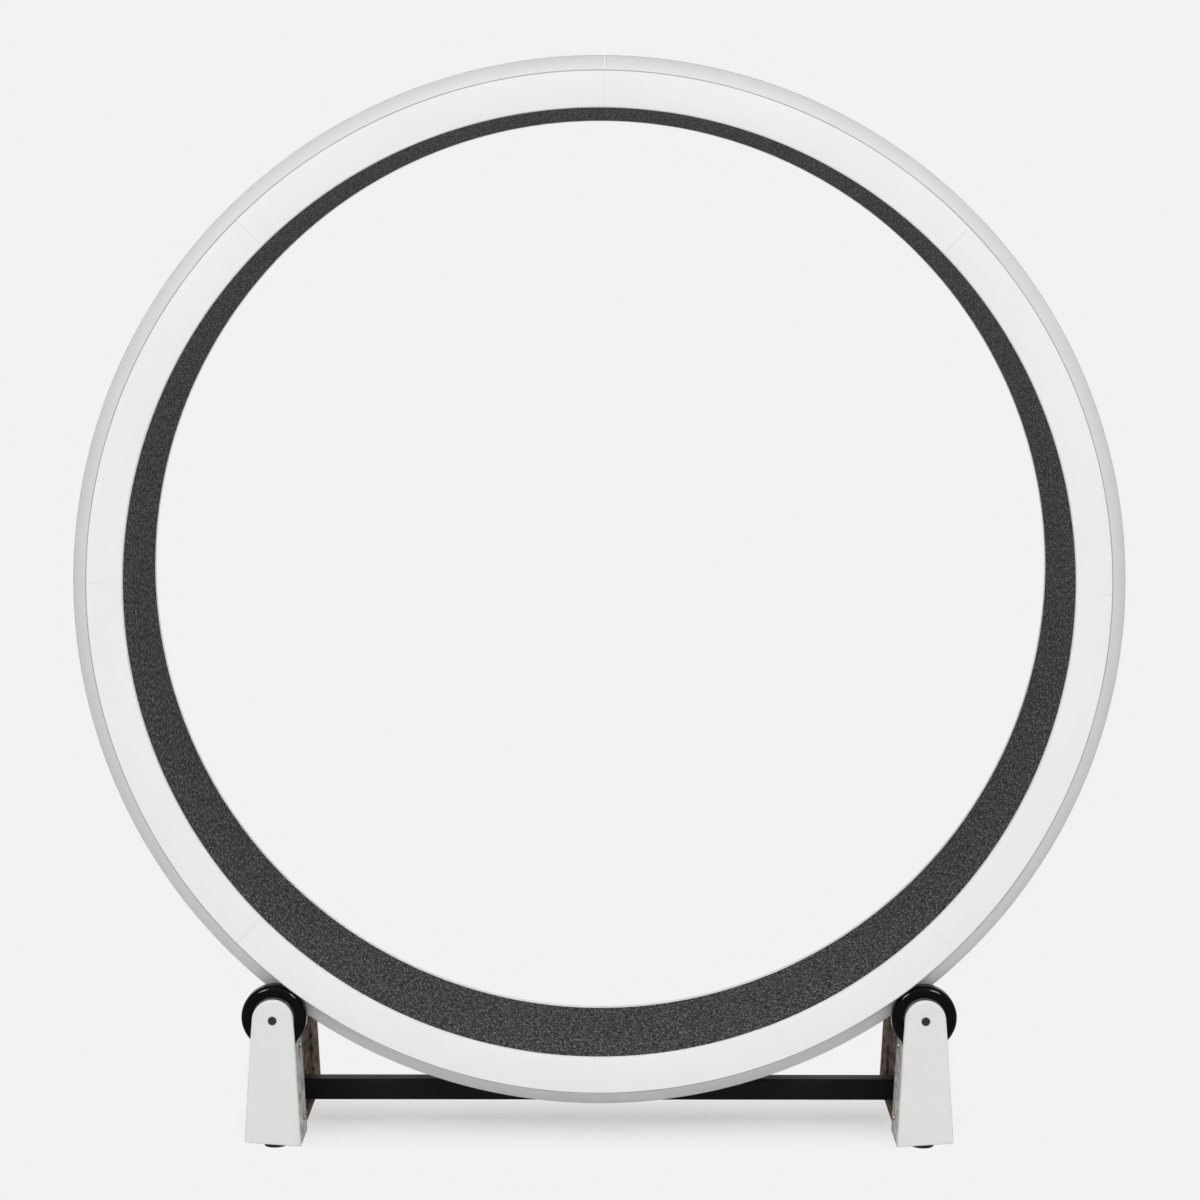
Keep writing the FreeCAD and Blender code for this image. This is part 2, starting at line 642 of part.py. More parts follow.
def leg_outline(side, inner_inset="0", foot=True):
    """The leg's tapered outline, from its foot to its shoulder."""
    low_outer = "base_outer_height" if foot else "leg_floor_height"
    low_inner = "base_inner_height" if foot else "leg_floor_height"
    return [
        (leg_x(side, outer_offset(low_outer)), low_outer),
        (leg_x(side, "shoulder_outer"), SHOULDER_HEIGHT),
        (leg_x(side, f"-shoulder_inner + {inner_inset}"), SHOULDER_HEIGHT),
        (leg_x(side, f"-{inner_offset(low_inner)} + {inner_inset}"), low_inner),
    ]


def leg_shell(name, side):
    """The moulded leg, open towards the wheel's middle, with a pocket for a roller at each end."""
    body = new_body(f"{name}_leg_shell")
    under_cover = "cover_thickness + cover_fit"
    middle = new_sketch(body, f"{name}_middle_outline", "XZ_Plane")
    polygon(middle, leg_outline(side, f"web_inset + {under_cover}", foot=False))
    feature(body, "Pad", f"{name}_middle", middle, length=f"2 * {CHEEK_INNER}", midplane=True)
    block_start = f"(dish_half_length + {under_cover})"
    block = new_sketch(body, f"{name}_block_outline", "XZ_Plane", f"-{block_start}")
    polygon(block, leg_outline(side, under_cover, foot=False))
    feature(body, "Pad", f"{name}_block", block, length=f"{CHEEK_INNER} - {block_start}")

    for end, start, inset in (("front", f"-{CHEEK_INNER}", "0"), ("rear", CHEEK_OUTER, "web_inset")):
        cheek = new_sketch(body, f"{name}_{end}_cheek_outline", "XZ_Plane", start)
        polygon(cheek, leg_outline(side, inset))
        feature(body, "Pad", f"{name}_{end}_cheek", cheek, length="cheek_thickness")

    for end, start, inset in (("front", f"-{HOUSING_INNER}", "0"),
                              ("rear", CHEEK_OUTER, "web_inset")):
        length = f"{CHEEK_OUTER} - {HOUSING_INNER}"
        neck = new_sketch(body, f"{name}_{end}_neck_outline", "XZ_Plane", start)
        ledge = f"-shoulder_inner + {inset} + {under_cover}"
        polygon(neck, [
            (leg_x(side, "-head_radius"), AXLE_HEIGHT),
            (leg_x(side, f"-shoulder_inner + {inset}"), SHOULDER_HEIGHT),
            (leg_x(side, ledge), SHOULDER_HEIGHT),
            (leg_x(side, ledge), f"{SHOULDER_HEIGHT} - leg_wall / 2"),
            (leg_x(side, "shoulder_outer"), f"{SHOULDER_HEIGHT} - leg_wall / 2"),
            (leg_x(side, "shoulder_outer"), SHOULDER_HEIGHT),
            (leg_x(side, "head_radius"), AXLE_HEIGHT),
        ])
        feature(body, "Pad", f"{name}_{end}_neck", neck, length=length)
        head = new_sketch(body, f"{name}_{end}_head_outline", "XZ_Plane", start)
        circle(head, leg_x(side, "0"), AXLE_HEIGHT, "head_radius")
        feature(body, "Pad", f"{name}_{end}_head", head, length=length)

    for end, start in (("front", f"-{CHEEK_INNER}"), ("rear", POCKET_INNER)):
        pocket = new_sketch(body, f"{name}_{end}_pocket_outline", "XZ_Plane", start)
        circle(pocket, leg_x(side, "0"), AXLE_HEIGHT, POCKET_RADIUS)
        feature(body, "Pocket", f"{name}_{end}_pocket", pocket,
                length=f"{CHEEK_INNER} - {POCKET_INNER}")

    # the hollows run out through the leg's inner side, where the cover closes them
    hollows = (
        ("middle", f"-{MIDDLE_HALF}", f"2 * {MIDDLE_HALF}", f"{SHOULDER_HEIGHT} - leg_wall"),
        ("front", f"-{CHEEK_INNER}", f"{CHEEK_INNER} - {POCKET_INNER}",
         f"{AXLE_HEIGHT} - {POCKET_RADIUS} - leg_wall"),
        ("rear", POCKET_INNER, f"{CHEEK_INNER} - {POCKET_INNER}",
         f"{AXLE_HEIGHT} - {POCKET_RADIUS} - leg_wall"),
    )
    for end, start, length, top in hollows:
        hollow = new_sketch(body, f"{name}_{end}_hollow_outline", "XZ_Plane", start)
        polygon(hollow, [
            (leg_x(side, f"{outer_offset(FLOOR_TOP)} - leg_wall"), FLOOR_TOP),
            (leg_x(side, f"{outer_offset(top)} - leg_wall"), top),
            (leg_x(side, "-2 * base_outer"), top),
            (leg_x(side, "-2 * base_outer"), FLOOR_TOP),
        ])
        feature(body, "Pocket", f"{name}_{end}_hollow", hollow, length=length)

    # socket for the crossbar on the inside of the outer wall
    socket = new_sketch(body, f"{name}_socket_outline", "YZ_Plane", f"{side} * ({BAR_SEAT} - socket_depth)")
    opening = "bar_size / 2 + socket_fit"
    rectangle(socket, f"-({opening} + socket_wall)", f"{BAR_MIDDLE} - ({opening} + socket_wall)",
              f"{opening} + socket_wall", f"{BAR_MIDDLE} + ({opening} + socket_wall)")
    rectangle(socket, f"-({opening})", f"{BAR_MIDDLE} - ({opening})",
              opening, f"{BAR_MIDDLE} + ({opening})")
    feature(body, "Pad", f"{name}_socket", socket, length="socket_depth + leg_wall / 2",
            backwards=side < 0)
    bolt_hole = new_sketch(body, f"{name}_bar_bolt_outline", "YZ_Plane",
                           f"{side} * ({BAR_SEAT} - leg_wall)")
    circle(bolt_hole, "0", BAR_MIDDLE, "bar_bolt_radius + hole_fit")
    feature(body, "Pocket", f"{name}_bar_bolt_hole", bolt_hole, length="3 * leg_wall",
            backwards=side > 0)
    seat = new_sketch(body, f"{name}_washer_seat_outline", "YZ_Plane",
                      f"{side} * ({BAR_SEAT} + leg_wall - washer_thickness)")
    circle(seat, "0", BAR_MIDDLE, "washer_radius + hole_fit")
    feature(body, "Pocket", f"{name}_washer_seat", seat, length="2 * leg_wall", backwards=side > 0)

    # axle holes, with a recess for the bolt's round head in each outer cheek
    axle_hole = new_sketch(body, f"{name}_axle_outline", "XZ_Plane", f"-{CHEEK_OUTER}")
    circle(axle_hole, leg_x(side, "0"), AXLE_HEIGHT, "axle_radius + hole_fit / 2")
    feature(body, "Pocket", f"{name}_axle_holes", axle_hole, length=f"2 * {CHEEK_OUTER}")
    for end, start in (("front", f"-{CHEEK_OUTER}"), ("rear", f"{CHEEK_OUTER} - axle_head_height")):
        recess = new_sketch(body, f"{name}_{end}_recess_outline", "XZ_Plane", start)
        circle(recess, leg_x(side, "0"), AXLE_HEIGHT, "axle_head_radius + hole_fit")
        feature(body, "Pocket", f"{name}_{end}_recess", recess, length="axle_head_height")

    foot_holes = new_sketch(body, f"{name}_foot_hole_outline", "XY_Plane", "leg_floor_height")
    for end in ("", "-"):
        circle(foot_holes, leg_x(side, "0"), f"{end}{ROLLER_PLANE}", "foot_screw_radius - hole_fit / 5")
    feature(body, "Pocket", f"{name}_foot_holes", foot_holes, length="leg_wall", backwards=True)

    screw_holes = new_sketch(body, f"{name}_cover_hole_outline", "YZ_Plane",
                             f"{side} * (roller_spread - 2 * base_outer)")
    for end in ("", "-"):
        for height in ("cover_screw_low", "cover_screw_high"):
            circle(screw_holes, f"{end}({POCKET_INNER} - partition / 2)", height,
                   "cover_screw_radius + hole_fit / 5")
    body_before = body.Tip.Shape.Volume
    depth = f"base_outer + {under_cover} + web_inset + cover_screw_length + cover_thickness"
    holes = feature(body, "Pocket", f"{name}_cover_holes", screw_holes, length=depth,
                    backwards=side > 0)
    if holes.Shape.Volume >= body_before:
        raise ValueError(f"{body.Label}: the cover screws have no holes")

    front = value_of(CHEEK_OUTER)
    rim = round_edges(body, f"{name}_cheek_edges", holes, "cheek_round", cheek_rim(front))
    body.Tip = rim
    return body


def cheek_rim(front):
    """A test for the outer edges of the two cheeks, but not the rims of the axle recesses."""
    recess = value_of("axle_head_radius + hole_fit")

    def test(edge):
        if any(abs(abs(v.Point.y) - front) > 0.01 for v in edge.Vertexes):
            return False
        bounds = edge.BoundBox
        if bounds.YLength > 0.01:
            return False
        return not (edge.Curve.TypeId == "Part::GeomCircle" and edge.Curve.Radius < recess + 0.1)

    return test


def leg_cover(name, side):
    """The cover on the leg's inner side, with a dish that the crossbar runs out of."""
    body = new_body(f"{name}_leg_cover")

    def strip(low, high, near, far):
        """Corners of a strip along the inner flank, between two depths under it."""
        return [(leg_x(side, f"-{inner_offset(height)} + {depth}"), height)
                for height, depth in ((low, near), (high, near), (high, far), (low, far))]

    low, high = "(base_inner_height + cover_fit)", f"({SHOULDER_HEIGHT} - cover_fit)"
    reach = f"({CHEEK_INNER} - cover_fit)"
    plates = (
        ("rear", reach, f"{reach} + dish_half_length", "web_inset", "web_inset + cover_thickness"),
        ("front", "-dish_half_length", f"{reach} - dish_half_length", "0", "cover_thickness"),
        ("step", "-dish_half_length", "cover_thickness", "0", "web_inset + cover_thickness"),
    )
    for place, start, length, near, far in plates:
        plate = new_sketch(body, f"{name}_{place}_plate_outline", "XZ_Plane", start)
        polygon(plate, strip(low, high, near, far))
        feature(body, "Pad", f"{name}_{place}_plate", plate, length=length)

    dish_low = f"({FLOOR_TOP} + cover_fit)"
    dish_high = f"({SHOULDER_HEIGHT} - leg_wall - cover_fit)"
    back = new_sketch(body, f"{name}_dish_outline", "XZ_Plane")
    polygon(back, strip(dish_low, dish_high, "web_inset + cover_thickness / 2",
                        "web_inset + dish_depth + cover_thickness"))
    feature(body, "Pad", f"{name}_dish_back", back,
            length="2 * (dish_half_length + cover_thickness)", midplane=True)

    hollow = new_sketch(body, f"{name}_dish_hollow_outline", "XZ_Plane")
    inner_low = f"({dish_low} + cover_thickness)"
    inner_high = f"({dish_high} - cover_thickness)"
    polygon(hollow, strip(inner_low, inner_high, "0", "web_inset + dish_depth"))
    dished = feature(body, "Pocket", f"{name}_dish_hollow", hollow, length="2 * dish_half_length",
                     midplane=True)

    bar_hole = new_sketch(body, f"{name}_bar_hole_outline", "YZ_Plane",
                          f"{side} * (roller_spread - 2 * base_outer)")
    opening = "bar_size / 2 + 2 * socket_fit"
    rectangle(bar_hole, f"-({opening})", f"{BAR_MIDDLE} - ({opening})",
              opening, f"{BAR_MIDDLE} + ({opening})")
    feature(body, "Pocket", f"{name}_bar_hole", bar_hole, length="2 * base_outer",
            backwards=side > 0)

    for end, start in (("front", f"-{CHEEK_INNER}"), ("rear", POCKET_INNER)):
        notch = new_sketch(body, f"{name}_{end}_notch_outline", "XZ_Plane", start)
        circle(notch, leg_x(side, "0"), AXLE_HEIGHT, POCKET_RADIUS)
        feature(body, "Pocket", f"{name}_{end}_notch", notch,
                length=f"{CHEEK_INNER} - {POCKET_INNER}")

    holes = new_sketch(body, f"{name}_screw_hole_outline", "YZ_Plane",
                       f"{side} * (roller_spread - 2 * base_outer)")
    for end in ("", "-"):
        for height in ("cover_screw_low", "cover_screw_high"):
            circle(holes, f"{end}({POCKET_INNER} - partition / 2)", height,
                   "cover_screw_radius + hole_fit")
    feature(body, "Pocket", f"{name}_screw_holes", holes, length="2 * base_outer",
            backwards=side > 0)
    if body.Tip.Shape.Volume >= dished.Shape.Volume:
        raise ValueError(f"{body.Label}: its holes are missing")
    return body


def cover_screws():
    """Four screws through each cover into the leg's partitions."""
    body = new_body("cover_screws")
    for name, side in SIDES:
        for level, height in (("low", "cover_screw_low"), ("high", "cover_screw_high")):
            for end, inset in (("front", "0"), ("rear", "web_inset")):
                face = f"{side} * (roller_spread - {inner_offset(height)} + {inset} - cover_fit)"
                sign = "-" if end == "front" else ""
                for part, radius, start, length in (
                    ("head", "cover_head_radius", f"{face} - {side} * cover_head_height",
                     "cover_head_height"),
                    ("shank", "cover_screw_radius", f"{face} - {side} * cover_head_height / 2",
                     "cover_screw_length"),
                ):
                    key = f"{part}_{level}_{end}_{name}"
                    outline = new_sketch(body, f"cover_screw_{key}", "YZ_Plane", start)
                    circle(outline, f"{sign}({POCKET_INNER} - partition / 2)", height, radius)
                    feature(body, "Pad", f"cover_screw_pad_{key}", outline, length=length,
                            backwards=side < 0)
    return body


def crossbar():
    """Square steel tube between the legs."""
    body = new_body("crossbar")
    outline = new_sketch(body, "bar_outline", "YZ_Plane")
    half = "bar_size / 2"
    rectangle(outline, f"-{half}", f"{BAR_MIDDLE} - {half}", half, f"{BAR_MIDDLE} + {half}")
    bar = feature(body, "Pad", "bar", outline, length=f"2 * {BAR_HALF_LENGTH}", midplane=True)

    def lengthwise(edge):
        return edge.BoundBox.XLength > 1

    round_edges(body, "bar_corners", bar, "bar_wall", lengthwise)
    bore = new_sketch(body, "bar_bore_outline", "YZ_Plane")
    half = "bar_size / 2 - bar_wall"
    rectangle(bore, f"-({half})", f"{BAR_MIDDLE} - ({half})", half, f"{BAR_MIDDLE} + ({half})")
    feature(body, "Pocket", "bar_bore", bore, length=f"2 * {BAR_HALF_LENGTH} + bar_size",
            midplane=True)
    return body


def crossbar_plugs():
    """Threaded plug in each end of the tube."""
    body = new_body("crossbar_plugs")
    for name, side in SIDES:
        outline = new_sketch(body, f"plug_outline_{name}", "YZ_Plane",
                             f"{side} * ({BAR_HALF_LENGTH} - plug_length)")
        half = "bar_size / 2 - bar_wall - plug_fit"
        rectangle(outline, f"-({half})", f"{BAR_MIDDLE} - ({half})", half, f"{BAR_MIDDLE} + ({half})")
        circle(outline, "0", BAR_MIDDLE, "bar_bolt_radius + hole_fit / 5")
        feature(body, "Pad", f"plug_{name}", outline, length="plug_length", backwards=side < 0)
    return body


def crossbar_washers():
    body = new_body("crossbar_washers")
    for name, side in SIDES:
        outline = new_sketch(body, f"washer_outline_{name}", "YZ_Plane",
                             f"{side} * ({BAR_SEAT} + leg_wall - washer_thickness)")
        circle(outline, "0", BAR_MIDDLE, "washer_radius")
        circle(outline, "0", BAR_MIDDLE, "bar_bolt_radius + hole_fit")
        feature(body, "Pad", f"washer_{name}", outline, length="washer_thickness",
                backwards=side < 0)
    return body


def crossbar_bolts():
    """Bolt through each leg's outer wall into the plug."""
    body = new_body("crossbar_bolts")
    for name, side in SIDES:
        seat = f"({BAR_SEAT} + leg_wall)"
        head = new_sketch(body, f"bar_bolt_head_{name}", "YZ_Plane", f"{side} * {seat}")
        circle(head, "0", BAR_MIDDLE, "bar_head_radius")
        feature(body, "Pad", f"bar_bolt_head_pad_{name}", head, length="bar_head_height",
                backwards=side < 0)
        shank = new_sketch(body, f"bar_bolt_shank_{name}", "YZ_Plane",
                           f"{side} * ({seat} - bar_bolt_length)")
        circle(shank, "0", BAR_MIDDLE, "bar_bolt_radius")
        feature(body, "Pad", f"bar_bolt_shank_pad_{name}", shank,
                length="bar_bolt_length + bar_head_height / 2", backwards=side < 0)
        key = new_sketch(body, f"bar_bolt_key_{name}", "YZ_Plane",
                         f"{side} * ({seat} + bar_head_height)")
        hexagon(key, "0", BAR_MIDDLE, "bar_bolt_radius * 1.25")
        feature(body, "Pocket", f"bar_bolt_key_pocket_{name}", key,
                length="bar_head_height / 2", backwards=side < 0)
    return body


def axle_bolts():
    """The bolt that each roller turns on, its round head flush in the outer cheek."""
    body = new_body("axle_bolts")
    for name, side in SIDES:
        for end, sense in ENDS:
            away = sense > 0
            face = f"{sense} * {CHEEK_OUTER}"
            length = f"{CHEEK_OUTER} - {HOUSING_INNER} + axle_nut_height + axle_radius / 4"
            for part, radius, reach in (("head", "axle_head_radius", "axle_head_height"),
                                        ("shank", "axle_radius", length)):
                outline = new_sketch(body, f"axle_{part}_{end}_{name}", "XZ_Plane", face)
                circle(outline, leg_x(side, "0"), AXLE_HEIGHT, radius)
                feature(body, "Pad", f"axle_{part}_pad_{end}_{name}", outline, length=reach,
                        backwards=not away)
            key = new_sketch(body, f"axle_key_{end}_{name}", "XZ_Plane", face)
            hexagon(key, leg_x(side, "0"), AXLE_HEIGHT, "axle_socket_flats")
            feature(body, "Pocket", f"axle_key_pocket_{end}_{name}", key,
                    length="axle_head_height * 0.8", backwards=away)
    return body


def axle_nuts():
    body = new_body("axle_nuts")
    for name, side in SIDES:
        for end, sense in ENDS:
            outline = new_sketch(body, f"axle_nut_{end}_{name}", "XZ_Plane",
                                 f"{sense} * {HOUSING_INNER}")
            hexagon(outline, leg_x(side, "0"), AXLE_HEIGHT, "axle_nut_flats")
            circle(outline, leg_x(side, "0"), AXLE_HEIGHT, "axle_radius + hole_fit / 5")
            feature(body, "Pad", f"axle_nut_pad_{end}_{name}", outline, length="axle_nut_height",
                    backwards=sense < 0)
    return body


def axle_spacers():
    """Tubes that keep each roller in the middle of its pocket."""
    body = new_body("axle_spacers")
    outer = f"({ROLLER_PLANE} + roller_width / 2)"
    inner = f"({ROLLER_PLANE} - roller_width / 2)"
    for name, side in SIDES:
        for end, sense in ENDS:
            for place, low, high in (("outer", outer, CHEEK_INNER), ("inner", POCKET_INNER, inner)):
                start = f"{sense} * {low}"
                outline = new_sketch(body, f"spacer_{place}_{end}_{name}", "XZ_Plane", start)
                circle(outline, leg_x(side, "0"), AXLE_HEIGHT, "spacer_radius")
                circle(outline, leg_x(side, "0"), AXLE_HEIGHT, "axle_radius + hole_fit / 5")
                feature(body, "Pad", f"spacer_pad_{place}_{end}_{name}", outline,
                        length=f"{high} - {low}", backwards=sense > 0)
    return body


def rubber_feet():
    """Round feet, a little smaller on the floor than at the leg, with a hole for the screw."""
    body = new_body("rubber_feet")
    for name, side in SIDES:
        for end, sense in ENDS:
            place = (leg_x(side, "0"), f"{sense} * {ROLLER_PLANE}")
            top = new_sketch(body, f"foot_outline_{end}_{name}", "XY_Plane")
            circle(top, *place, "foot_radius - foot_taper")
            foot = feature(body, "Pad", f"foot_{end}_{name}", top, length="leg_floor_height")
            foot.setExpression("TaperAngle", bind("atan(foot_taper / leg_floor_height)"))
            for part, radius, start, length in (
                ("recess", "foot_head_radius + hole_fit", "0", "foot_recess + foot_head_height"),
                ("hole", "foot_screw_radius + hole_fit", "0", "leg_floor_height"),
            ):
                hole = new_sketch(body, f"foot_{part}_{end}_{name}", "XY_Plane", start)
                circle(hole, *place, radius)
                feature(body, "Pocket", f"foot_{part}_pocket_{end}_{name}", hole, length=length,
                        backwards=True)
    return body


def foot_screws():
    body = new_body("foot_screws")
    for name, side in SIDES:
        for end, sense in ENDS:
            place = (leg_x(side, "0"), f"{sense} * {ROLLER_PLANE}")
            for part, radius, start, length in (
                ("head", "foot_head_radius", "foot_recess", "foot_head_height"),
                ("shank", "foot_screw_radius - hole_fit / 2", "foot_recess + foot_head_height / 2",
                 "foot_screw_length"),
            ):
                outline = new_sketch(body, f"foot_screw_{part}_{end}_{name}", "XY_Plane", start)
                circle(outline, *place, radius)
                feature(body, "Pad", f"foot_screw_{part}_pad_{end}_{name}", outline, length=length)
    return body


# ---------------------------------------------------------------------------------------------
# The assembly
# ---------------------------------------------------------------------------------------------


def build_all():
    bodies = []
    for number in range(1, int(value_of("segment_count")) + 1):
        bodies.append(rim_segment(number))
        bodies.append(deck_panel(number))
    bodies += [guide_hoop(name, sense) for name, sense in ENDS]
    bodies += [deck_screws(), joint_bolts(), joint_nuts(), running_mat()]
    for side_name, side in SIDES:
        for end_name, end in ENDS:
            place = f"{end_name}_{side_name}"
            bodies.append(roller_tyre(place, side, end))
            bodies.append(roller_hub(place, side, end))
            bodies.append(roller_bearings(place, side, end))
        bodies += [leg_shell(side_name, side), leg_cover(side_name, side)]
    bodies += [cover_screws(), crossbar(), crossbar_plugs(), crossbar_washers(), crossbar_bolts()]
    bodies += [axle_bolts(), axle_nuts(), axle_spacers(), rubber_feet(), foot_screws()]
    return bodies


def check_all(bodies):
    document.recompute()
    for item in document.Objects:
        if "Invalid" in item.State or "Error" in item.State:
            raise RuntimeError(f"{item.Label} failed: {item.State}")
    for body in bodies:
        if body.Shape.isNull() or not body.Shape.isValid() or not body.Shape.Solids:
            raise RuntimeError(f"{body.Label} has no valid shape")


def export_all(bodies):
    os.makedirs("parts", exist_ok=True)
    for body in bodies:
        body.Shape.exportStep(f"parts/{body.Label}.step")


part_bodies = build_all()
check_all(part_bodies)
export_all(part_bodies)
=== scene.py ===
"""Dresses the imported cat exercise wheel: ring, hoops, felt mat, rollers, stand and studio."""

import json
import math

import bmesh
import bpy
from bpy.props import FloatProperty, FloatVectorProperty, IntProperty, PointerProperty
from bpy.types import NodeSocket, Operator, Panel, PropertyGroup
from mathutils import Matrix, Vector


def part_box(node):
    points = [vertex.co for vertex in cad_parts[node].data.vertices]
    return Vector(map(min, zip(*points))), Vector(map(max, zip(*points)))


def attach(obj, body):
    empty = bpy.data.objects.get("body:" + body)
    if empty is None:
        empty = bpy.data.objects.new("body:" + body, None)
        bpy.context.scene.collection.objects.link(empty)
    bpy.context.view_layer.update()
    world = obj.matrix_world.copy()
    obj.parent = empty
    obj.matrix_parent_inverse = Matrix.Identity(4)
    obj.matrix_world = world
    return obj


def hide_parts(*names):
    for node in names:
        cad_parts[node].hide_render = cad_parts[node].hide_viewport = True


bl_info = {
    "name": "Cat exercise wheel",
    "version": (1, 0, 0),
    "blender": (4, 5, 0),
    "location": "View3D > Sidebar > Cat wheel",
    "description": "Builds the finished look of a cat exercise wheel round its CAD frame",
    "category": "Add Mesh",
}

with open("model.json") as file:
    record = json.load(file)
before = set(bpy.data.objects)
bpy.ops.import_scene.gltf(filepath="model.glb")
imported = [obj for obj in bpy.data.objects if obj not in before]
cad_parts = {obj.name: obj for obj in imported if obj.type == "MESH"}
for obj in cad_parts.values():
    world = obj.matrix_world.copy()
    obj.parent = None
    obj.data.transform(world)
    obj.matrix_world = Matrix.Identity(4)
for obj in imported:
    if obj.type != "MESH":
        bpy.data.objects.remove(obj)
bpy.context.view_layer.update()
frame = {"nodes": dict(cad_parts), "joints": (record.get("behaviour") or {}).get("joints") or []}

MM = 0.001
JOINTS = {joint["name"]: joint for joint in frame["joints"]}
WHEEL_CENTRE = Vector(JOINTS["wheel_spin"]["pos_m"])
RIM_NODES = [name for name in sorted(frame["nodes"]) if name.startswith("rim_segment")]
DECK_NODES = [name for name in sorted(frame["nodes"]) if name.startswith("deck_panel")]
ROLLER_PLACES = [f"{end}_{side}" for side in ("left", "right") for end in ("front", "rear")]
SIDES = (("left", -1), ("right", 1))

FACE_HALF_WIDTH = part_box(RIM_NODES[0])[1].y
HOOP_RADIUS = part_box("guide_hoop_front")[1].x
MAT_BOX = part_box("running_mat")
MAT_HALF_WIDTH = MAT_BOX[1].y
MAT_OUTER_RADIUS = MAT_BOX[1].z - WHEEL_CENTRE.z

UV_MAP = "SurfaceMetres"
SHARP_ANGLE = math.radians(32)

# colours that only one finish lays on, linear RGB
FLOOR_DUST = (0.42, 0.39, 0.35)
SEAM_DUST = (0.35, 0.34, 0.33)
# painted shade: the dark line round the ring face's outer edge
EDGE_SHADE = (0.24, 0.24, 0.24)
# painted shade: the dark line along the hoops' tips
TIP_SHADE = (0.32, 0.32, 0.32)
TREAD_MARKS = (0.012, 0.012, 0.013)
DUST_ON_DARK = (0.18, 0.17, 0.16)
DUST_ON_BAR = (0.3, 0.29, 0.28)
BAR_SCUFFS = (0.03, 0.03, 0.03)
DECK_GREY = (0.5, 0.5, 0.49)
BEARING_STEEL = (0.58, 0.58, 0.58)
ZINC = (0.60, 0.59, 0.56)
BRONZE = (0.20, 0.17, 0.15)
BLACKENED = (0.035, 0.035, 0.037)
PLUG_BLACK = (0.02, 0.02, 0.02)
FOOT_BLACK = (0.022, 0.022, 0.022)


# ---- Settings ----


def length_setting(name, millimetres, description):
    """A length that the user can change, given in mm and shown in the scene's unit."""
    return FloatProperty(name=name, default=millimetres * MM, description=description,
                         unit="LENGTH", subtype="DISTANCE", min=0.0, precision=4)


def colour_setting(name, value, description):
    return FloatVectorProperty(name=name, default=value, description=description,
                               subtype="COLOR", size=3, min=0.0, max=1.0)


def count_setting(name, value, lowest, description):
    return IntProperty(name=name, default=value, min=lowest, description=description)


def angle_setting(name, degrees, description):
    return FloatProperty(name=name, default=math.radians(degrees), description=description,
                         subtype="ANGLE", unit="ROTATION")


def level_setting(name, value, description, **limits):
    return FloatProperty(name=name, default=value, description=description, min=0.0, **limits)


class RingSettings(PropertyGroup):
    """Section and finish of the white ring's moulded segments."""

    track_radius: length_setting("Track radius", 582, "Radius that the rollers run on")
    running_radius: length_setting("Running radius", 540.5, "Inner radius of the lip")
    wall: length_setting("Wall", 3, "Wall of the moulding")
    lip_width: length_setting("Lip width", 9.5, "White lip beside the mat")
    seat_width: length_setting("Seat width", 8, "Ledge under the deck panels")
    seat_depth: length_setting("Seat depth", 12.4, "From the lip's edge out to the ledge")
    track_round: length_setting("Track rounding", 0.8, "Edge between face and track")
    lip_round: length_setting("Lip rounding", 1.5, "Inner edges of the lip")
    seam_gap: length_setting("Seam gap", 0.1, "Gap between neighbouring segments")
    seam_bevel: length_setting("Seam bevel", 0.15, "Chamfer of a segment's end edges")
    turn: angle_setting("Turn at rest", 0.6, "How far the ring is turned at rest")
    segments: count_setting("Segments", 8, 3, "Segments in the ring")
    steps: count_setting("Steps", 44, 8, "Facets along one segment")
    colour: colour_setting("Colour", (0.80, 0.80, 0.795), "White of the ring's moulding")


class HoopSettings(PropertyGroup):
    """The two rolled guide hoops that stand round the ring."""

    track_width: length_setting("Track width", 25.5, "From the ring's face to a hoop")
    thickness: length_setting("Thickness", 4.5, "Flange at its root")
    draft: length_setting("Draft", 0.5, "How far the flange leans in on each side")
    tip_round: length_setting("Tip rounding", 1.4, "Outer edges of the flange")
    root_round: length_setting("Root rounding", 0.6, "Between flange and foot")
    foot_width: length_setting("Foot width", 12, "Foot that is bonded to the ring")
    foot_thickness: length_setting("Foot thickness", 1.6, "Foot that is bonded to the ring")
    bond: length_setting("Bond", 0.2, "Between the ring and the foot")
    joint_gap: length_setting("Joint gap", 0.8, "Between a hoop's two ends, at the top")
    steps: count_setting("Steps", 480, 32, "Facets round a hoop")
    root_colour: colour_setting("Colour at the ring", (0.735, 0.735, 0.73), "Pale grey")
    tip_colour: colour_setting("Colour at the tip", (0.57, 0.57, 0.565), "Grey of the tip")


class MatSettings(PropertyGroup):
    """The felt-faced running mat."""

    thickness: length_setting("Thickness", 8, "Felt and foam together")
    edge_round: length_setting("Edge rounding", 1.6, "Cut edges of the felt")
    nap_depth: length_setting("Nap depth", 0.3, "Unevenness of the felt's face")
    nap_size: length_setting("Nap size", 14, "Width of one soft hollow in the nap")
    steps_round: count_setting("Steps round", 720, 32, "Facets round")
    steps_across: count_setting("Steps across", 56, 4, "Facets across")
    fibre: length_setting("Fibre", 11, "Length of the bundles of fibres")
    fibre_width: length_setting("Fibre width", 2.3, "Width of the bundles of fibres")
    dark: colour_setting("Dark fibre", (0.004, 0.004, 0.0045), "Darkest fibres")
    middle: colour_setting("Middle fibre", (0.037, 0.037, 0.038), "Most of the heather")
    light: colour_setting("Light fibre", (0.17, 0.17, 0.173), "Lightest fibres")


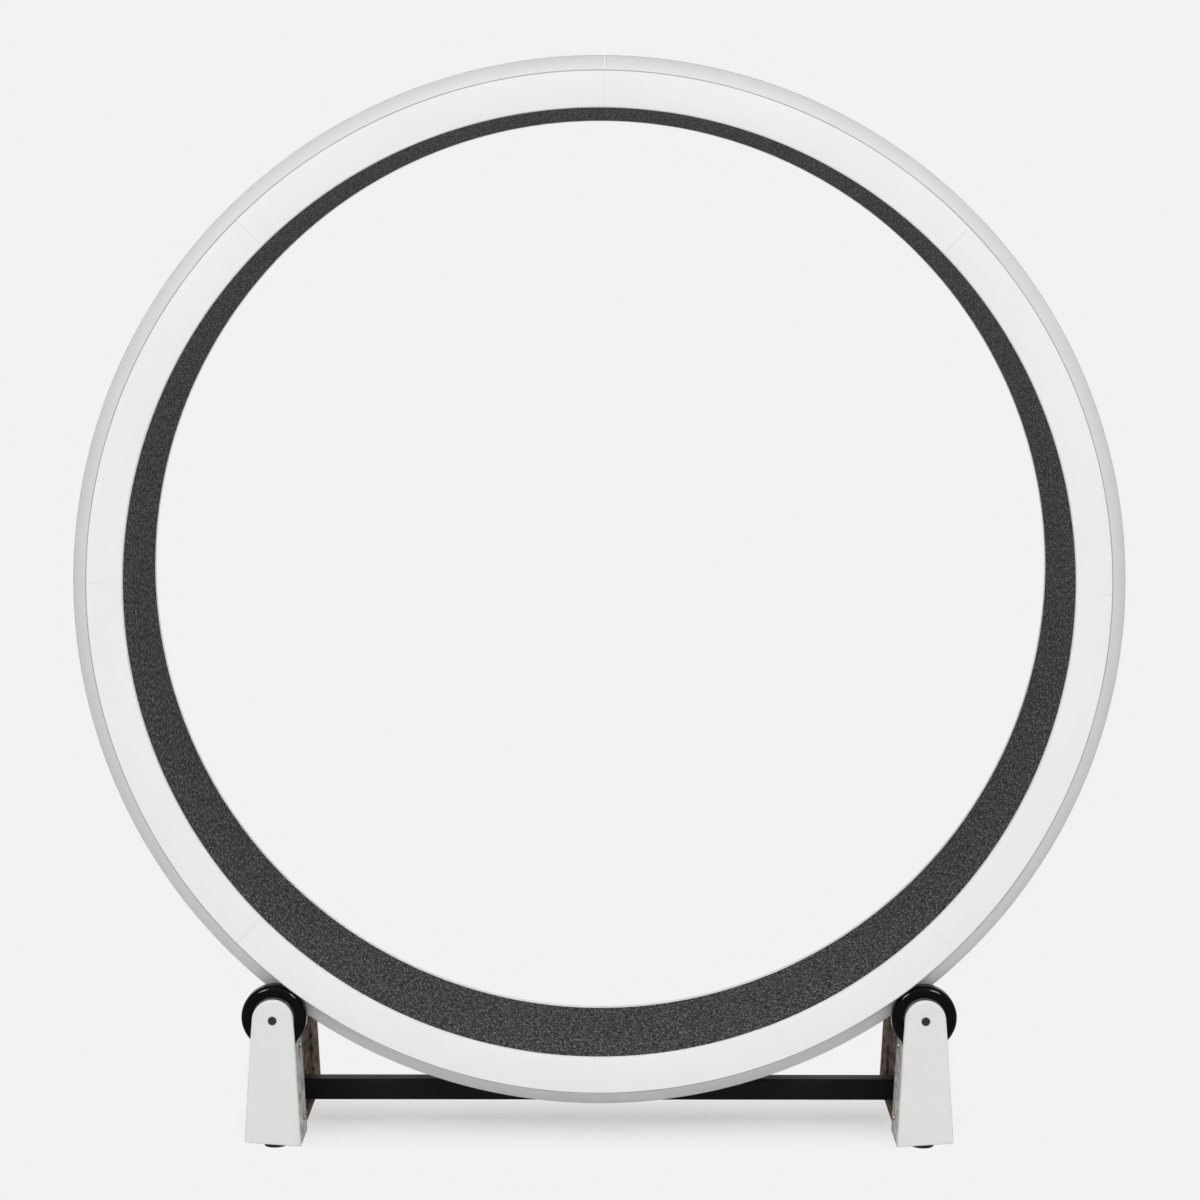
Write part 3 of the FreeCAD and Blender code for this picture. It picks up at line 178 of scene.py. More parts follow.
class RollerSettings(PropertyGroup):
    """The black rollers and their hubs."""

    radius: length_setting("Radius", 37.5, "Tyre's radius")
    half_width: length_setting("Half width", 12, "Half of the tyre's width")
    tread: length_setting("Tread", 0.8, "Half of the flat tread")
    hub_radius: length_setting("Hub radius", 24.5, "Where the tyre meets its hub")
    bearing_radius: length_setting("Bearing radius", 11, "Bearing seat in the hub")
    bearing_depth: length_setting("Bearing depth", 7, "How far a bearing lies in the hub")
    web_recess: length_setting("Web recess", 1.5, "How far the hub's web lies in")
    rib_thickness: length_setting("Rib thickness", 2.2, "Ribs of the hub")
    ribs: count_setting("Ribs", 10, 3, "Ribs on each side of a hub")
    steps: count_setting("Steps", 96, 16, "Facets round a roller")
    tyre_colour: colour_setting("Tyre colour", (0.0025, 0.0025, 0.003), "Black of the tyres")
    hub_colour: colour_setting("Hub colour", (0.006, 0.006, 0.007), "Black of the hubs")


class StandSettings(PropertyGroup):
    """Legs, covers, crossbar and feet."""

    edge_round: length_setting("Edge rounding", 0.9, "Small rounding of moulded edges")
    screw_head: length_setting("Screw head radius", 3.5, "Cover screws")
    screw_height: length_setting("Screw head height", 1.6, "Cover screws")
    screw_low: length_setting("Lower screws", 27, "Height above the floor")
    screw_high: length_setting("Upper screws", 112, "Height above the floor")
    screw_side: length_setting("Screw offset", 100, "From the middle to each screw")
    foot_radius: length_setting("Foot radius", 13, "Rubber feet at the leg")
    foot_taper: length_setting("Foot taper", 0.3, "How much smaller on the floor")
    foot_height: length_setting("Foot height", 10, "From the floor to the leg")
    leg_colour: colour_setting("Leg colour", (0.72, 0.72, 0.715), "White of the legs")
    cover_split: length_setting("Cover split", 72, "From the middle to the front plate")
    cover_dark: colour_setting("Cover, dark", (0.076, 0.060, 0.047), "Dark streaks")
    cover_light: colour_setting("Cover, light", (0.39, 0.318, 0.255), "Pale streaks")
    # painted light: the pale of the lit front plate
    cover_front_light: colour_setting("Cover, rubbed", (0.72, 0.695, 0.67), "Front plate")
    bar_colour: colour_setting("Bar colour", (0.008, 0.008, 0.009), "Crossbar's powder coat")


class StageSettings(PropertyGroup):
    """Floor, light and camera."""

    backdrop: level_setting("Backdrop", 0.884, "Brightness of the plain background", max=1.0,
                            subtype="FACTOR")
    floor: level_setting("Floor", 0.80, "Brightness of the floor's paint", max=1.0,
                         subtype="FACTOR")
    sky: level_setting("Sky", 0.55, "Light from all round")
    overhead: level_setting("Overhead", 1.36, "Light from above and in front")
    side: level_setting("Side lamps", 15.0, "Power of each of the two lamps at the sides",
                        subtype="POWER", unit="POWER")
    glint: level_setting("Glint", 420.0, "Power of each card that glints on the tyres",
                         subtype="POWER", unit="POWER")
    camera_place: FloatVectorProperty(name="Camera", default=(0.0186, -3.680, 0.9638), size=3,
                                      description="Where the camera stands", unit="LENGTH",
                                      subtype="TRANSLATION")
    camera_tilt: angle_setting("Tilt", 5.32, "How far the camera looks down")
    camera_turn: angle_setting("Turn", 0.28, "How far the camera turns to its left")
    lens: FloatProperty(name="Lens", default=94.29, min=1.0, description="Focal length, mm",
                        subtype="DISTANCE_CAMERA", unit="CAMERA")


# ---- Meshes ----


def mirrored(half):
    """Half a section's (across, radius, rounding) corners, followed by their mirror image."""
    return half + [(-across, radius, rounding) for across, radius, rounding in reversed(half)]


def rounded_loop(corners, arc_steps=5):
    """A closed outline whose corners, given as (x, y, radius), are rounded with arcs."""
    points = []
    count = len(corners)
    for index, (x, y, radius) in enumerate(corners):
        here = Vector((x, y))
        before = Vector(corners[index - 1][:2]) - here
        after = Vector(corners[(index + 1) % count][:2]) - here
        if radius <= 0:
            points.append(here)
            continue
        half_angle = before.angle(after) / 2
        reach = min(radius / math.tan(half_angle), before.length * 0.49, after.length * 0.49)
        start = here + before.normalized() * reach
        end = here + after.normalized() * reach
        # a rational quadratic with this weight is an exact arc
        weight = math.sin(half_angle)
        for step in range(arc_steps + 1):
            share = step / arc_steps
            a, b, c = (1 - share) ** 2, 2 * weight * share * (1 - share), share ** 2
            points.append((start * a + here * b + end * c) / (a + b + c))
    return points


def inset_loop(loop, distance):
    """The loop moved inwards by a distance, for the chamfer at a swept piece's end."""
    count = len(loop)
    area = sum(loop[i - 1].cross(loop[i]) for i in range(count))
    turn = 1 if area > 0 else -1
    moved = []
    for index, point in enumerate(loop):
        along = (loop[(index + 1) % count] - loop[index - 1]).normalized()
        moved.append(point + Vector((-along.y, along.x)) * distance * turn)
    return moved


def finish_mesh(name, made, sharp_angle=SHARP_ANGLE):
    """Turn a bmesh into an object with outward faces and smooth shading up to an angle."""
    bmesh.ops.recalc_face_normals(made, faces=made.faces)
    mesh = bpy.data.meshes.new(name)
    made.to_mesh(mesh)
    made.free()
    mesh.shade_smooth()
    mesh.set_sharp_from_angle(angle=sharp_angle)
    piece = bpy.data.objects.new(name, mesh)
    bpy.context.scene.collection.objects.link(piece)
    return piece


def ring_of(made, loop, angle, centre, axis="Y"):
    """Vertices of an (along, radius) loop at one angle round an axis through the centre."""
    ring = []
    for along, radius in loop:
        if axis == "Y":
            place = Vector((math.sin(angle) * radius, along, math.cos(angle) * radius))
        else:
            place = Vector((math.cos(angle) * radius, math.sin(angle) * radius, along))
        ring.append(made.verts.new(place + centre))
    return ring


def join_rings(made, first, second, uv=None, us=(0, 0), vs=None):
    count = len(first)
    for index in range(count):
        following = (index + 1) % count
        face = made.faces.new((first[index], first[following], second[following], second[index]))
        if uv:
            corners = ((us[0], index), (us[0], index + 1), (us[1], index + 1), (us[1], index))
            for loop, (u, v) in zip(face.loops, corners):
                loop[uv].uv = (u, vs[v])


def loft(name, made, rings):
    """An object whose skin joins a row of rings and closes both ends of the row."""
    for first, second in zip(rings, rings[1:]):
        join_rings(made, first, second)
    made.faces.new(rings[0])
    made.faces.new(list(reversed(rings[-1])))
    return finish_mesh(name, made, math.radians(30))


def lathe(name, loop, centre, steps, axis="Y", with_uv=False):
    """A closed outline turned all the way round an axis. The UV map is in metres."""
    made = bmesh.new()
    uv = made.loops.layers.uv.new(UV_MAP) if with_uv else None
    lengths = [0.0]
    for index in range(len(loop)):
        lengths.append(lengths[-1] + (loop[(index + 1) % len(loop)] - loop[index]).length)
    mean_radius = sum(point.y for point in loop) / len(loop)
    rings = [ring_of(made, loop, math.tau * step / steps, centre, axis) for step in range(steps)]
    for step in range(steps):
        around = [math.tau * mean_radius * (step + n) / steps for n in (0, 1)]
        join_rings(made, rings[step], rings[(step + 1) % steps], uv, around, lengths)
    return finish_mesh(name, made)


def smooth_copy(node, name, edge_round=0.0):
    """A merged copy of a CAD node, shaded smooth, with its hard edges slightly rounded."""
    made = bmesh.new()
    made.from_mesh(frame["nodes"][node].data)
    bmesh.ops.remove_doubles(made, verts=made.verts, dist=0.002 * MM)
    bmesh.ops.dissolve_limit(made, angle_limit=math.radians(0.5), verts=made.verts,
                             edges=made.edges)
    piece = finish_mesh(name, made)
    if edge_round:
        bevel = piece.modifiers.new("edges", "BEVEL")
        bevel.width = edge_round
        bevel.segments = 2
        bevel.limit_method = "ANGLE"
        bevel.angle_limit = math.radians(40)
        bevel.use_clamp_overlap = True
        bevel.harden_normals = True
    return piece


# ---- Node trees ----


def spaced(values):
    """The values under their names with a space for each _, as sockets are labelled."""
    return {label.replace("_", " "): value for label, value in values.items()}


class Tree:
    """A node tree with short calls to add nodes and links."""

    def __init__(self, tree):
        self.tree = tree

    def link(self, source, target):
        self.tree.links.new(source, target)

    def feed(self, node, values):
        """Link or set a node's inputs, each by its label or number."""
        for label, value in values.items():
            if isinstance(value, NodeSocket):
                self.link(value, node.inputs[label])
            else:
                node.inputs[label].default_value = value
        return node

    def add(self, kind, values=None, **settings):
        node = self.tree.nodes.new(kind)
        for key, value in settings.items():
            setattr(node, key, value)
        return self.feed(node, values or {})

    def math(self, operation, first, second=0.0, third=0.0, clamp=False):
        return self.add("ShaderNodeMath", {0: first, 1: second, 2: third}, operation=operation,
                        use_clamp=clamp).outputs[0]

    def vector_math(self, operation, first, second=(0, 0, 0)):
        return self.add("ShaderNodeVectorMath", {0: first, 1: second},
                        operation=operation).outputs[0]

    def scale(self, vector, factor):
        return self.add("ShaderNodeVectorMath", {0: vector, "Scale": factor},
                        operation="SCALE").outputs[0]

    def length(self, vector):
        return self.add("ShaderNodeVectorMath", {0: vector}, operation="LENGTH").outputs["Value"]

    def parts(self, vector):
        """A vector's X, Y and Z."""
        return self.add("ShaderNodeSeparateXYZ", {0: vector}).outputs

    def noise(self, vector, scale, detail=2.0, roughness=0.5, output=0):
        return self.add("ShaderNodeTexNoise", {
            "Vector": vector, "Scale": scale, "Detail": detail,
            "Roughness": roughness}).outputs[output]

    def ramp(self, value, start, end, low=0.0, high=1.0):
        """Straight change from low to high as the value goes from start to end."""
        return self.add("ShaderNodeMapRange", {
            "Value": value, "From Min": start, "From Max": end, "To Min": low,
            "To Max": high}).outputs[0]

    def mix(self, share, first, second):
        """Mix of two colours, each a socket or a plain (r, g, b)."""
        first, second = (colour if isinstance(colour, NodeSocket) else (*colour[:3], 1.0)
                         for colour in (first, second))
        return self.add("ShaderNodeMix", {0: share, 6: first, 7: second},
                        data_type="RGBA").outputs[2]


def geometry_tree(name, **inputs):
    """A tree that takes and gives geometry; returns it and what its named inputs give."""
    group = bpy.data.node_groups.new(name, "GeometryNodeTree")
    for way in ("INPUT", "OUTPUT"):
        group.interface.new_socket("Geometry", in_out=way, socket_type="NodeSocketGeometry")
    for label, kind in spaced({**inputs, "Material": "Material"}).items():
        group.interface.new_socket(label, in_out="INPUT", socket_type=f"NodeSocket{kind}")
    tree = Tree(group)
    return tree, tree.add("NodeGroupInput").outputs


def close_tree(tree, given, geometry):
    """End a tree in Realize Instances and Set Material."""
    real = tree.add("GeometryNodeRealizeInstances", {"Geometry": geometry})
    painted = tree.add("GeometryNodeSetMaterial", {
        "Geometry": real.outputs["Geometry"], "Material": given["Material"]})
    tree.add("NodeGroupOutput", {"Geometry": painted.outputs["Geometry"]})
    return tree.tree


def place_copies(tree, given, points, turn):
    """End a tree with its geometry put on every point."""
    placed = tree.add("GeometryNodeInstanceOnPoints", {
        "Points": points.outputs[0], "Instance": given["Geometry"],
        "Rotation": turn.outputs[0]})
    return close_tree(tree, given, placed.outputs["Instances"])


def round_array_tree():
    """Repeats a piece that is drawn about the Y axis, evenly round a centre."""
    tree, given = geometry_tree("repeat_round_axis", Count="Int", First_Angle="Float",
                                Centre="Vector")
    points = tree.add("GeometryNodePoints", {
        "Count": given["Count"], "Position": given["Centre"]})
    index = tree.add("GeometryNodeInputIndex").outputs[0]
    step = tree.math("DIVIDE", math.tau, given["Count"])
    angle = tree.math("ADD", tree.math("MULTIPLY", index, step), given["First Angle"])
    turn = tree.add("FunctionNodeAxisAngleToRotation", {"Axis": (0, 1, 0), "Angle": angle})
    return place_copies(tree, given, points, turn)


def felt_nap_tree():
    """Makes the face of the felt slightly uneven."""
    tree, given = geometry_tree("felt_nap", Depth="Float", Hollow_Size="Float", Seed="Float")
    place = tree.add("GeometryNodeInputPosition").outputs[0]
    noise = tree.add("ShaderNodeTexNoise", {
        "Vector": place, "W": given["Seed"],
        "Scale": tree.math("DIVIDE", 1.0, given["Hollow Size"]), "Detail": 3.0,
        "Roughness": 0.6}, noise_dimensions="4D")
    height = tree.math("MULTIPLY", tree.math("SUBTRACT", noise.outputs[0], 0.75),
                       given["Depth"])
    normal = tree.add("GeometryNodeInputNormal").outputs[0]
    moved = tree.add("GeometryNodeSetPosition", {
        "Geometry": given["Geometry"], "Offset": tree.scale(normal, height)})
    return close_tree(tree, given, moved.outputs["Geometry"])


def cover_screw_tree():
    """Puts a screw at four places on each of two covers, with its head facing the middle."""
    tree, given = geometry_tree("cover_screws", Offset="Float", Low="Float", High="Float",
                                Low_Face="Float", High_Face="Float", Rear_Step="Float")
    index = tree.add("GeometryNodeInputIndex").outputs[0]

    def digit(divisor):
        """One binary digit of the index."""
        return tree.math("MODULO", tree.math("FLOOR", tree.math("DIVIDE", index, divisor)), 2.0)

    is_rear, level, is_right = digit(1.0), digit(2.0), digit(4.0)
    end = tree.math("MULTIPLY_ADD", is_rear, 2.0, -1.0)
    side = tree.math("MULTIPLY_ADD", is_right, 2.0, -1.0)
    rise = tree.math("SUBTRACT", given["High"], given["Low"])
    lean = tree.math("SUBTRACT", given["High Face"], given["Low Face"])
    height = tree.math("MULTIPLY_ADD", level, rise, given["Low"])
    front_face = tree.math("MULTIPLY_ADD", level, lean, given["Low Face"])
    face = tree.math("MULTIPLY_ADD", is_rear, given["Rear Step"], front_face)
    place = tree.add("ShaderNodeCombineXYZ", {
        "X": tree.math("MULTIPLY", face, side),
        "Y": tree.math("MULTIPLY", end, given["Offset"]), "Z": height}).outputs[0]
    points = tree.add("GeometryNodePoints", {"Count": 8, "Position": place})
    # each screw stopped at its own twist, and those on the right face the other way
    turn = tree.add("ShaderNodeCombineXYZ", {
        "X": tree.math("MULTIPLY", index, 0.7), "Z": tree.math("MULTIPLY", is_right, math.pi)})
    rotation = tree.add("FunctionNodeEulerToRotation", {0: turn.outputs[0]})
    return place_copies(tree, given, points, rotation)


def grow(piece, tree, **inputs):
    """Run a node tree on a piece and keep the result as its plain mesh."""
    values = spaced(inputs)
    modifier = piece.modifiers.new(tree.name, "NODES")
    modifier.node_group = tree
    for item in tree.interface.items_tree:
        if item.item_type == "SOCKET" and item.in_out == "INPUT" and item.name in values:
            modifier[item.identifier] = values[item.name]
    bpy.context.view_layer.update()
    evaluated = piece.evaluated_get(bpy.context.evaluated_depsgraph_get())
    mesh = bpy.data.meshes.new_from_object(evaluated)
    piece.modifiers.remove(modifier)
    old = piece.data
    piece.data = mesh
    mesh.name = piece.name
    bpy.data.meshes.remove(old)
    return piece


def shader_group(name, outputs, **inputs):
    """A shader group that gives numbers; an input without a plain number is a vector."""
    group = bpy.data.node_groups.new(name, "ShaderNodeTree")
    for label, value in spaced(inputs).items():
        kind = "Float" if isinstance(value, float) else "Vector"
        socket = group.interface.new_socket(label, in_out="INPUT", socket_type=f"NodeSocket{kind}")
        if value is not None:
            socket.default_value = value
    for label in outputs:
        group.interface.new_socket(label, in_out="OUTPUT", socket_type="NodeSocketFloat")
    tree = Tree(group)
    return tree, tree.add("NodeGroupInput").outputs, tree.add("NodeGroupOutput")


def moulded_skin_group():
    """Fine grain and slow unevenness of injection-moulded plastic."""
    tree, given, result = shader_group("moulded_skin", ("Height", "Patch"), Vector=None,
                                       Grain_Size=0.0006, Patch_Size=0.09)
    grain = tree.noise(given["Vector"], tree.math("DIVIDE", 1.0, given["Grain Size"]))
    patch = tree.noise(given["Vector"], tree.math("DIVIDE", 1.0, given["Patch Size"]), 4.0, 0.55)
    tree.feed(result, {"Height": grain, "Patch": patch})


def scuff_group():
    """Thin scratches that run roughly one way, with gaps between them."""
    tree, given, result = shader_group("scuffs", ("Mask", "Height"), Vector=None,
                                       Stretch=(1.0, 1.0, 1.0), Size=0.002, Amount=0.5)
    stretched = tree.vector_math("MULTIPLY", given["Vector"], given["Stretch"])
    lines = tree.noise(stretched, tree.math("DIVIDE", 1.0, given["Size"]), 3.0, 0.7)
    gaps = tree.noise(given["Vector"], 18.0)
    limit = tree.math("SUBTRACT", 0.85, tree.math("MULTIPLY", given["Amount"], 0.3))
    sharp = tree.ramp(lines, limit, tree.math("ADD", limit, 0.08))
    tree.feed(result, {"Mask": tree.math("MULTIPLY", sharp, gaps), "Height": lines})


def floor_dust_group():
    """Dust that gathers on what is near the floor."""
    tree, given, result = shader_group("floor_dust", ("Mask",), Vector=None, Reach=0.06)
    fade = tree.ramp(tree.parts(given["Vector"])["Z"], 0.0, given["Reach"], 1.0, 0.0)
    specks = tree.ramp(tree.noise(given["Vector"], 260.0, 4.0, 0.7), 0.42, 0.68)
    tree.feed(result, {"Mask": tree.math("MULTIPLY", fade, specks)})


# ---- Materials ----


def new_material(name, **sockets):
    """A material with its Principled BSDF; uniform numbers are set on the shader itself."""
    material = bpy.data.materials.new(name)
    material.use_nodes = True
    tree = Tree(material.node_tree)
    shader = tree.feed(material.node_tree.nodes["Principled BSDF"], spaced(sockets))
    return material, tree, shader


def object_place(tree):
    return tree.add("ShaderNodeTexCoord").outputs["Object"]


def shared(tree, group, vector, **values):
    """What a shared group gives; its inputs are named with _ for a space."""
    node = tree.add("ShaderNodeGroup", node_tree=bpy.data.node_groups[group])
    return tree.feed(node, {"Vector": vector, **spaced(values)}).outputs


def scaled(colour, factor):
    return tuple(min(1.0, channel * factor) for channel in colour[:3])


def finish(tree, shader, colour, height, depth, roughness=None, strength=1.0):
    """Feed the shader its colour, its roughness if it varies, and a bump."""
    bump = tree.add("ShaderNodeBump", {
        "Height": height, "Distance": depth, "Strength": strength})
    values = {"Base Color": colour, "Normal": bump.outputs[0]}
    if roughness:
        values["Roughness"] = roughness
    tree.feed(shader, values)


def tint(tree, shader, share, colour):
    """Lay one more colour over what feeds the shader's Base Color."""
    socket = shader.inputs["Base Color"]
    tree.link(tree.mix(share, socket.links[0].from_socket, colour), socket)


def layered(name, tones, grain, patch, roughness, depth, layers, **sockets):
    """Plastic, rubber or paint: a grained skin with slow changes of tone and gloss.

    A layer over it is a shared group with a mask, how much of the mask shows, the layer's
    colour, how much rougher it makes the skin and what the group's inputs are set to.
    """
    material, tree, shader = new_material(name, **sockets)
    place = object_place(tree)
    skin = shared(tree, "moulded_skin", place, Grain_Size=grain, Patch_Size=patch)
    colour = tree.mix(skin["Patch"], *tones)
    rough = tree.ramp(skin["Patch"], 0.0, 1.0, *roughness)
    for group, strength, layer_colour, dulling, inputs in layers:
        mask = tree.math("MULTIPLY", shared(tree, group, place, **inputs)["Mask"], strength)
        colour = tree.mix(mask, colour, layer_colour)
        if dulling:
            rough = tree.math("ADD", rough, tree.math("MULTIPLY", mask, dulling))
    finish(tree, shader, colour, skin["Height"], depth, rough)
    return material, tree, shader


def white_moulding(name, colour, patch, roughness):
    """White plastic with a soft sheen, faint flow marks and a little dust near the floor."""
    return layered(
        name, tones=(scaled(colour, 0.97), scaled(colour, 1.03)), grain=0.7 * MM, patch=patch,
        roughness=(roughness - 0.06, roughness + 0.08), depth=0.03 * MM,
        layers=[("floor_dust", 0.10, FLOOR_DUST, 2.0, {"Reach": 55 * MM})],
        IOR=1.49, Specular_IOR_Level=0.04)


def from_axle(tree):
    """Place on the wheel as (angle from its top, distance from its axis, distance along it)."""
    place = tree.vector_math("SUBTRACT", object_place(tree), tuple(WHEEL_CENTRE))
    parts = tree.parts(place)
    angle = tree.math("ARCTAN2", parts["X"], parts["Z"])
    reach = tree.length(tree.vector_math("MULTIPLY", place, (1, 0, 1)))
    return angle, reach, tree.math("ABSOLUTE", parts["Y"])


def ring_white(ring):
    """The ring's white, with a little dust in its seams and a line of painted shade round its outer
    edge.
    """
    material, tree, shader = white_moulding("ring_white", ring.colour, 0.16, 0.46)
    angle, reach, along = from_axle(tree)
    # seams lie where the share of a segment passes one half; 100 keeps it positive
    turned = tree.math("SUBTRACT", angle, ring.turn)
    share = tree.math("FRACT", tree.math("MULTIPLY_ADD", turned, ring.segments / math.tau, 100.5))
    away = tree.math("ABSOLUTE", tree.math("SUBTRACT", share, 0.5))
    seam_share = 1.0 * MM * ring.segments / (math.tau * ring.track_radius)
    tint(tree, shader, tree.ramp(away, 0.0, seam_share, 0.05, 0.0), SEAM_DUST)
    # painted shade: a dark line along the face's outer edge, where the face drops back to the track
    line = 1.8 * ring.track_round
    outside = tree.ramp(reach, ring.track_radius - line, ring.track_radius - 0.8 * line)
    facing = tree.ramp(along, FACE_HALF_WIDTH - line, FACE_HALF_WIDTH - 0.8 * line)
    edge = tree.math("MULTIPLY", outside, facing)
    tint(tree, shader, tree.math("MULTIPLY", edge, 0.8), EDGE_SHADE)
    return material


def hoop_grey(ring, hoop):
    """Pale grey strip that darkens towards its outer edge, with painted shade along its tip."""
    material, tree, shader = white_moulding("hoop_grey", hoop.root_colour, 0.10, 0.44)
    _, reach, _ = from_axle(tree)
    tint(tree, shader, tree.ramp(reach, ring.track_radius, HOOP_RADIUS), hoop.tip_colour)
    # painted shade: a dark line along the flange's tip, made uneven by the scuff noise
    tip = tree.ramp(reach, HOOP_RADIUS - hoop.tip_round, HOOP_RADIUS - 0.4 * hoop.tip_round)
    rub = shared(tree, "scuffs", object_place(tree), Size=4 * MM, Amount=0.9)
    painted_light = tree.math("ADD", tree.math("MULTIPLY", rub["Mask"], 0.2), 0.45)
    tint(tree, shader, tree.math("MULTIPLY", tip, painted_light), TIP_SHADE)
    return material


def felt(mat):
    """Charcoal heather: dark, middle and pale fibres in short crossing strokes."""
    material, tree, shader = new_material("charcoal_felt", Roughness=0.96, Sheen_Weight=0.02,
                                          Sheen_Roughness=0.6, Specular_IOR_Level=0.02)
    surface = tree.add("ShaderNodeUVMap", uv_map=UV_MAP).outputs[0]

    def strokes(length, width, degrees, offset):
        """Noise drawn out along one direction of the felt's face."""
        mapped = tree.add("ShaderNodeMapping", {
            "Vector": surface, "Location": (offset, offset * 0.7, 0.0),
            "Rotation": (0.0, 0.0, math.radians(degrees)),
            "Scale": (length, width, 1.0)}, vector_type="TEXTURE")
        return tree.noise(mapped.outputs[0], 1.0, 1.5)

    # the needled fibres lie mostly across the mat, and a few run askew
    lying = [strokes(mat.fibre, mat.fibre_width, degrees, 3.1 * number)
             for number, degrees in enumerate((84, 66, 112), 1)]
    askew = strokes(0.6 * mat.fibre, 0.8 * mat.fibre_width, 20, 1.3)
    pale = tree.math("MAXIMUM", lying[0], askew)
    deep = tree.math("MAXIMUM", lying[1], lying[2])
    cloudy = tree.noise(surface, 45.0, 3.0)
    base = tree.mix(cloudy, scaled(mat.middle, 0.8), scaled(mat.middle, 1.2))
    darker = tree.mix(tree.ramp(deep, 0.52, 0.60), base, mat.dark)
    colour = tree.mix(tree.ramp(pale, 0.55, 0.65), darker, mat.light)
    height = tree.math("SUBTRACT", tree.math("MULTIPLY", pale, 0.7),
                       tree.math("MULTIPLY", deep, 0.6))
    finish(tree, shader, colour, height, 0.6 * MM, strength=0.8)
    return material


def glossy_tyre(roller):
    """Black polyurethane: glossy, with fine running marks."""
    marks = {"Stretch": (0.25, 3.0, 0.25), "Size": 1.4 * MM, "Amount": 0.7}
    return layered(
        "tyre_black", tones=(roller.tyre_colour, roller.tyre_colour), grain=0.5 * MM,
        patch=12 * MM, roughness=(0.05, 0.09), depth=0.02 * MM,
        layers=[("scuffs", 0.35, TREAD_MARKS, 0.2 / 0.35, marks)],
        IOR=1.5, Specular_IOR_Level=0.05)[0]


def dark_moulding(name, colour, roughness=0.5):
    """Dark nylon or rubber with grain and a little floor dust."""
    return layered(
        name, tones=(scaled(colour, 0.8), scaled(colour, 1.3)), grain=0.8 * MM, patch=20 * MM,
        roughness=(roughness - 0.08, roughness + 0.12), depth=0.06 * MM,
        layers=[("floor_dust", 0.3, DUST_ON_DARK, 0.0, {"Reach": 20 * MM})], IOR=1.5)[0]


def streaked_cover(stand):
    """Grey-brown moulding with upright streaks, dark knots and a front plate painted pale as lit.
    """
    material, tree, shader = new_material("streaked_cover", IOR=1.49, Specular_IOR_Level=0.0)
    place = object_place(tree)

    def streaks(width, length, offset, warp):
        bent = tree.noise(place, 22.0, 1.0, output="Color")
        moved = tree.vector_math("ADD", place, tree.scale(bent, warp))
        mapped = tree.add("ShaderNodeMapping", {
            "Vector": moved, "Location": (offset, offset, offset),
            "Scale": (1.0 / width, 1.0 / width, 1.0 / length)})
        return tree.noise(mapped.outputs[0], 1.0, 4.0, 0.6)

    grain = tree.ramp(streaks(3.5 * MM, 60 * MM, 1.7, 0.010), 0.36, 0.64)
    blotch = tree.ramp(streaks(20 * MM, 10 * MM, 4.3, 0.020), 0.42, 0.58)
    knots = tree.ramp(streaks(30 * MM, 18 * MM, 9.1, 0.0), 0.58, 0.66, 0.0, 0.4)
    contrast = tree.math("MULTIPLY_ADD", blotch, 0.6, tree.math("MULTIPLY", grain, 0.4))
    wood = tree.mix(contrast, stand.cover_dark, stand.cover_light)
    # painted light: the raised front plate is painted pale as lit from the front, most of all near
    # the floor, with the streaks' blotches showing through
    parts = tree.parts(place)
    front = tree.ramp(parts["Y"], 0.5 * MM - stand.cover_split, 1.5 * MM - stand.cover_split,
                      1.0, 0.0)
    low = tree.ramp(parts["Z"], 45 * MM, 85 * MM, 1.0, 0.8)
    front_light_mask = tree.math("MULTIPLY", tree.math("MULTIPLY", front, low),
                       tree.math("MULTIPLY_ADD", contrast, 0.55, 0.42), clamp=True)
    painted_light = tree.mix(front_light_mask, wood, stand.cover_front_light)
    knotted = tree.mix(knots, painted_light, scaled(stand.cover_dark, 0.6))
    finish(tree, shader, knotted, contrast, 0.12 * MM,
           tree.ramp(contrast, 0.0, 1.0, 0.34, 0.55))
    return material


def powder_coat(stand):
    """Black powder coat with an orange-peel skin and pale scuffs along the bar."""
    scuffs = {"Stretch": (0.04, 1.0, 1.0), "Size": 1.2 * MM, "Amount": 0.6}
    return layered(
        "black_powder_coat", tones=(stand.bar_colour, scaled(stand.bar_colour, 1.8)),
        grain=1.3 * MM, patch=50 * MM, roughness=(0.36, 0.52), depth=0.08 * MM,
        layers=[("scuffs", 0.3, BAR_SCUFFS, 0.0, scuffs),
                ("floor_dust", 0.02, DUST_ON_BAR, 0.0, {"Reach": 60 * MM})],
        IOR=1.5, Specular_IOR_Level=0.07)[0]


def metal(name, colour, roughness, stretch):
    """Plated or blackened steel with fine turning marks."""
    material, tree, shader = new_material(name, Metallic=1.0)
    marks = shared(tree, "scuffs", object_place(tree), Stretch=stretch, Size=0.8 * MM,
                   Amount=0.6)["Height"]
    finish(tree, shader, tree.mix(marks, scaled(colour, 0.75), scaled(colour, 1.2)), marks,
           0.02 * MM, tree.ramp(marks, 0.0, 1.0, roughness - 0.08, roughness + 0.1))
    return material


def paint(material, *nodes):
    """Give CAD nodes a better material."""
    for node in nodes:
        for slot in frame["nodes"][node].material_slots:
            slot.link = "OBJECT"
            slot.material = material


def fit_out(piece, material, body, slot, *nodes):
    """Paint a new piece, let it ride on its body and stand for the nodes it replaces."""
    piece.data.materials.clear()
    piece.data.materials.append(material)
    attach(piece, body)
    if nodes:
        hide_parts(*nodes)
    return piece


# ---- Operators ----


class CATWHEEL_OT_shared_finishes(Operator):
    """Make the shader groups that several finishes share"""

    bl_idname = "catwheel.shared_finishes"
    bl_label = "Shared finishes"

    def execute(self, context):
        moulded_skin_group()
        scuff_group()
        floor_dust_group()
        return {"FINISHED"}


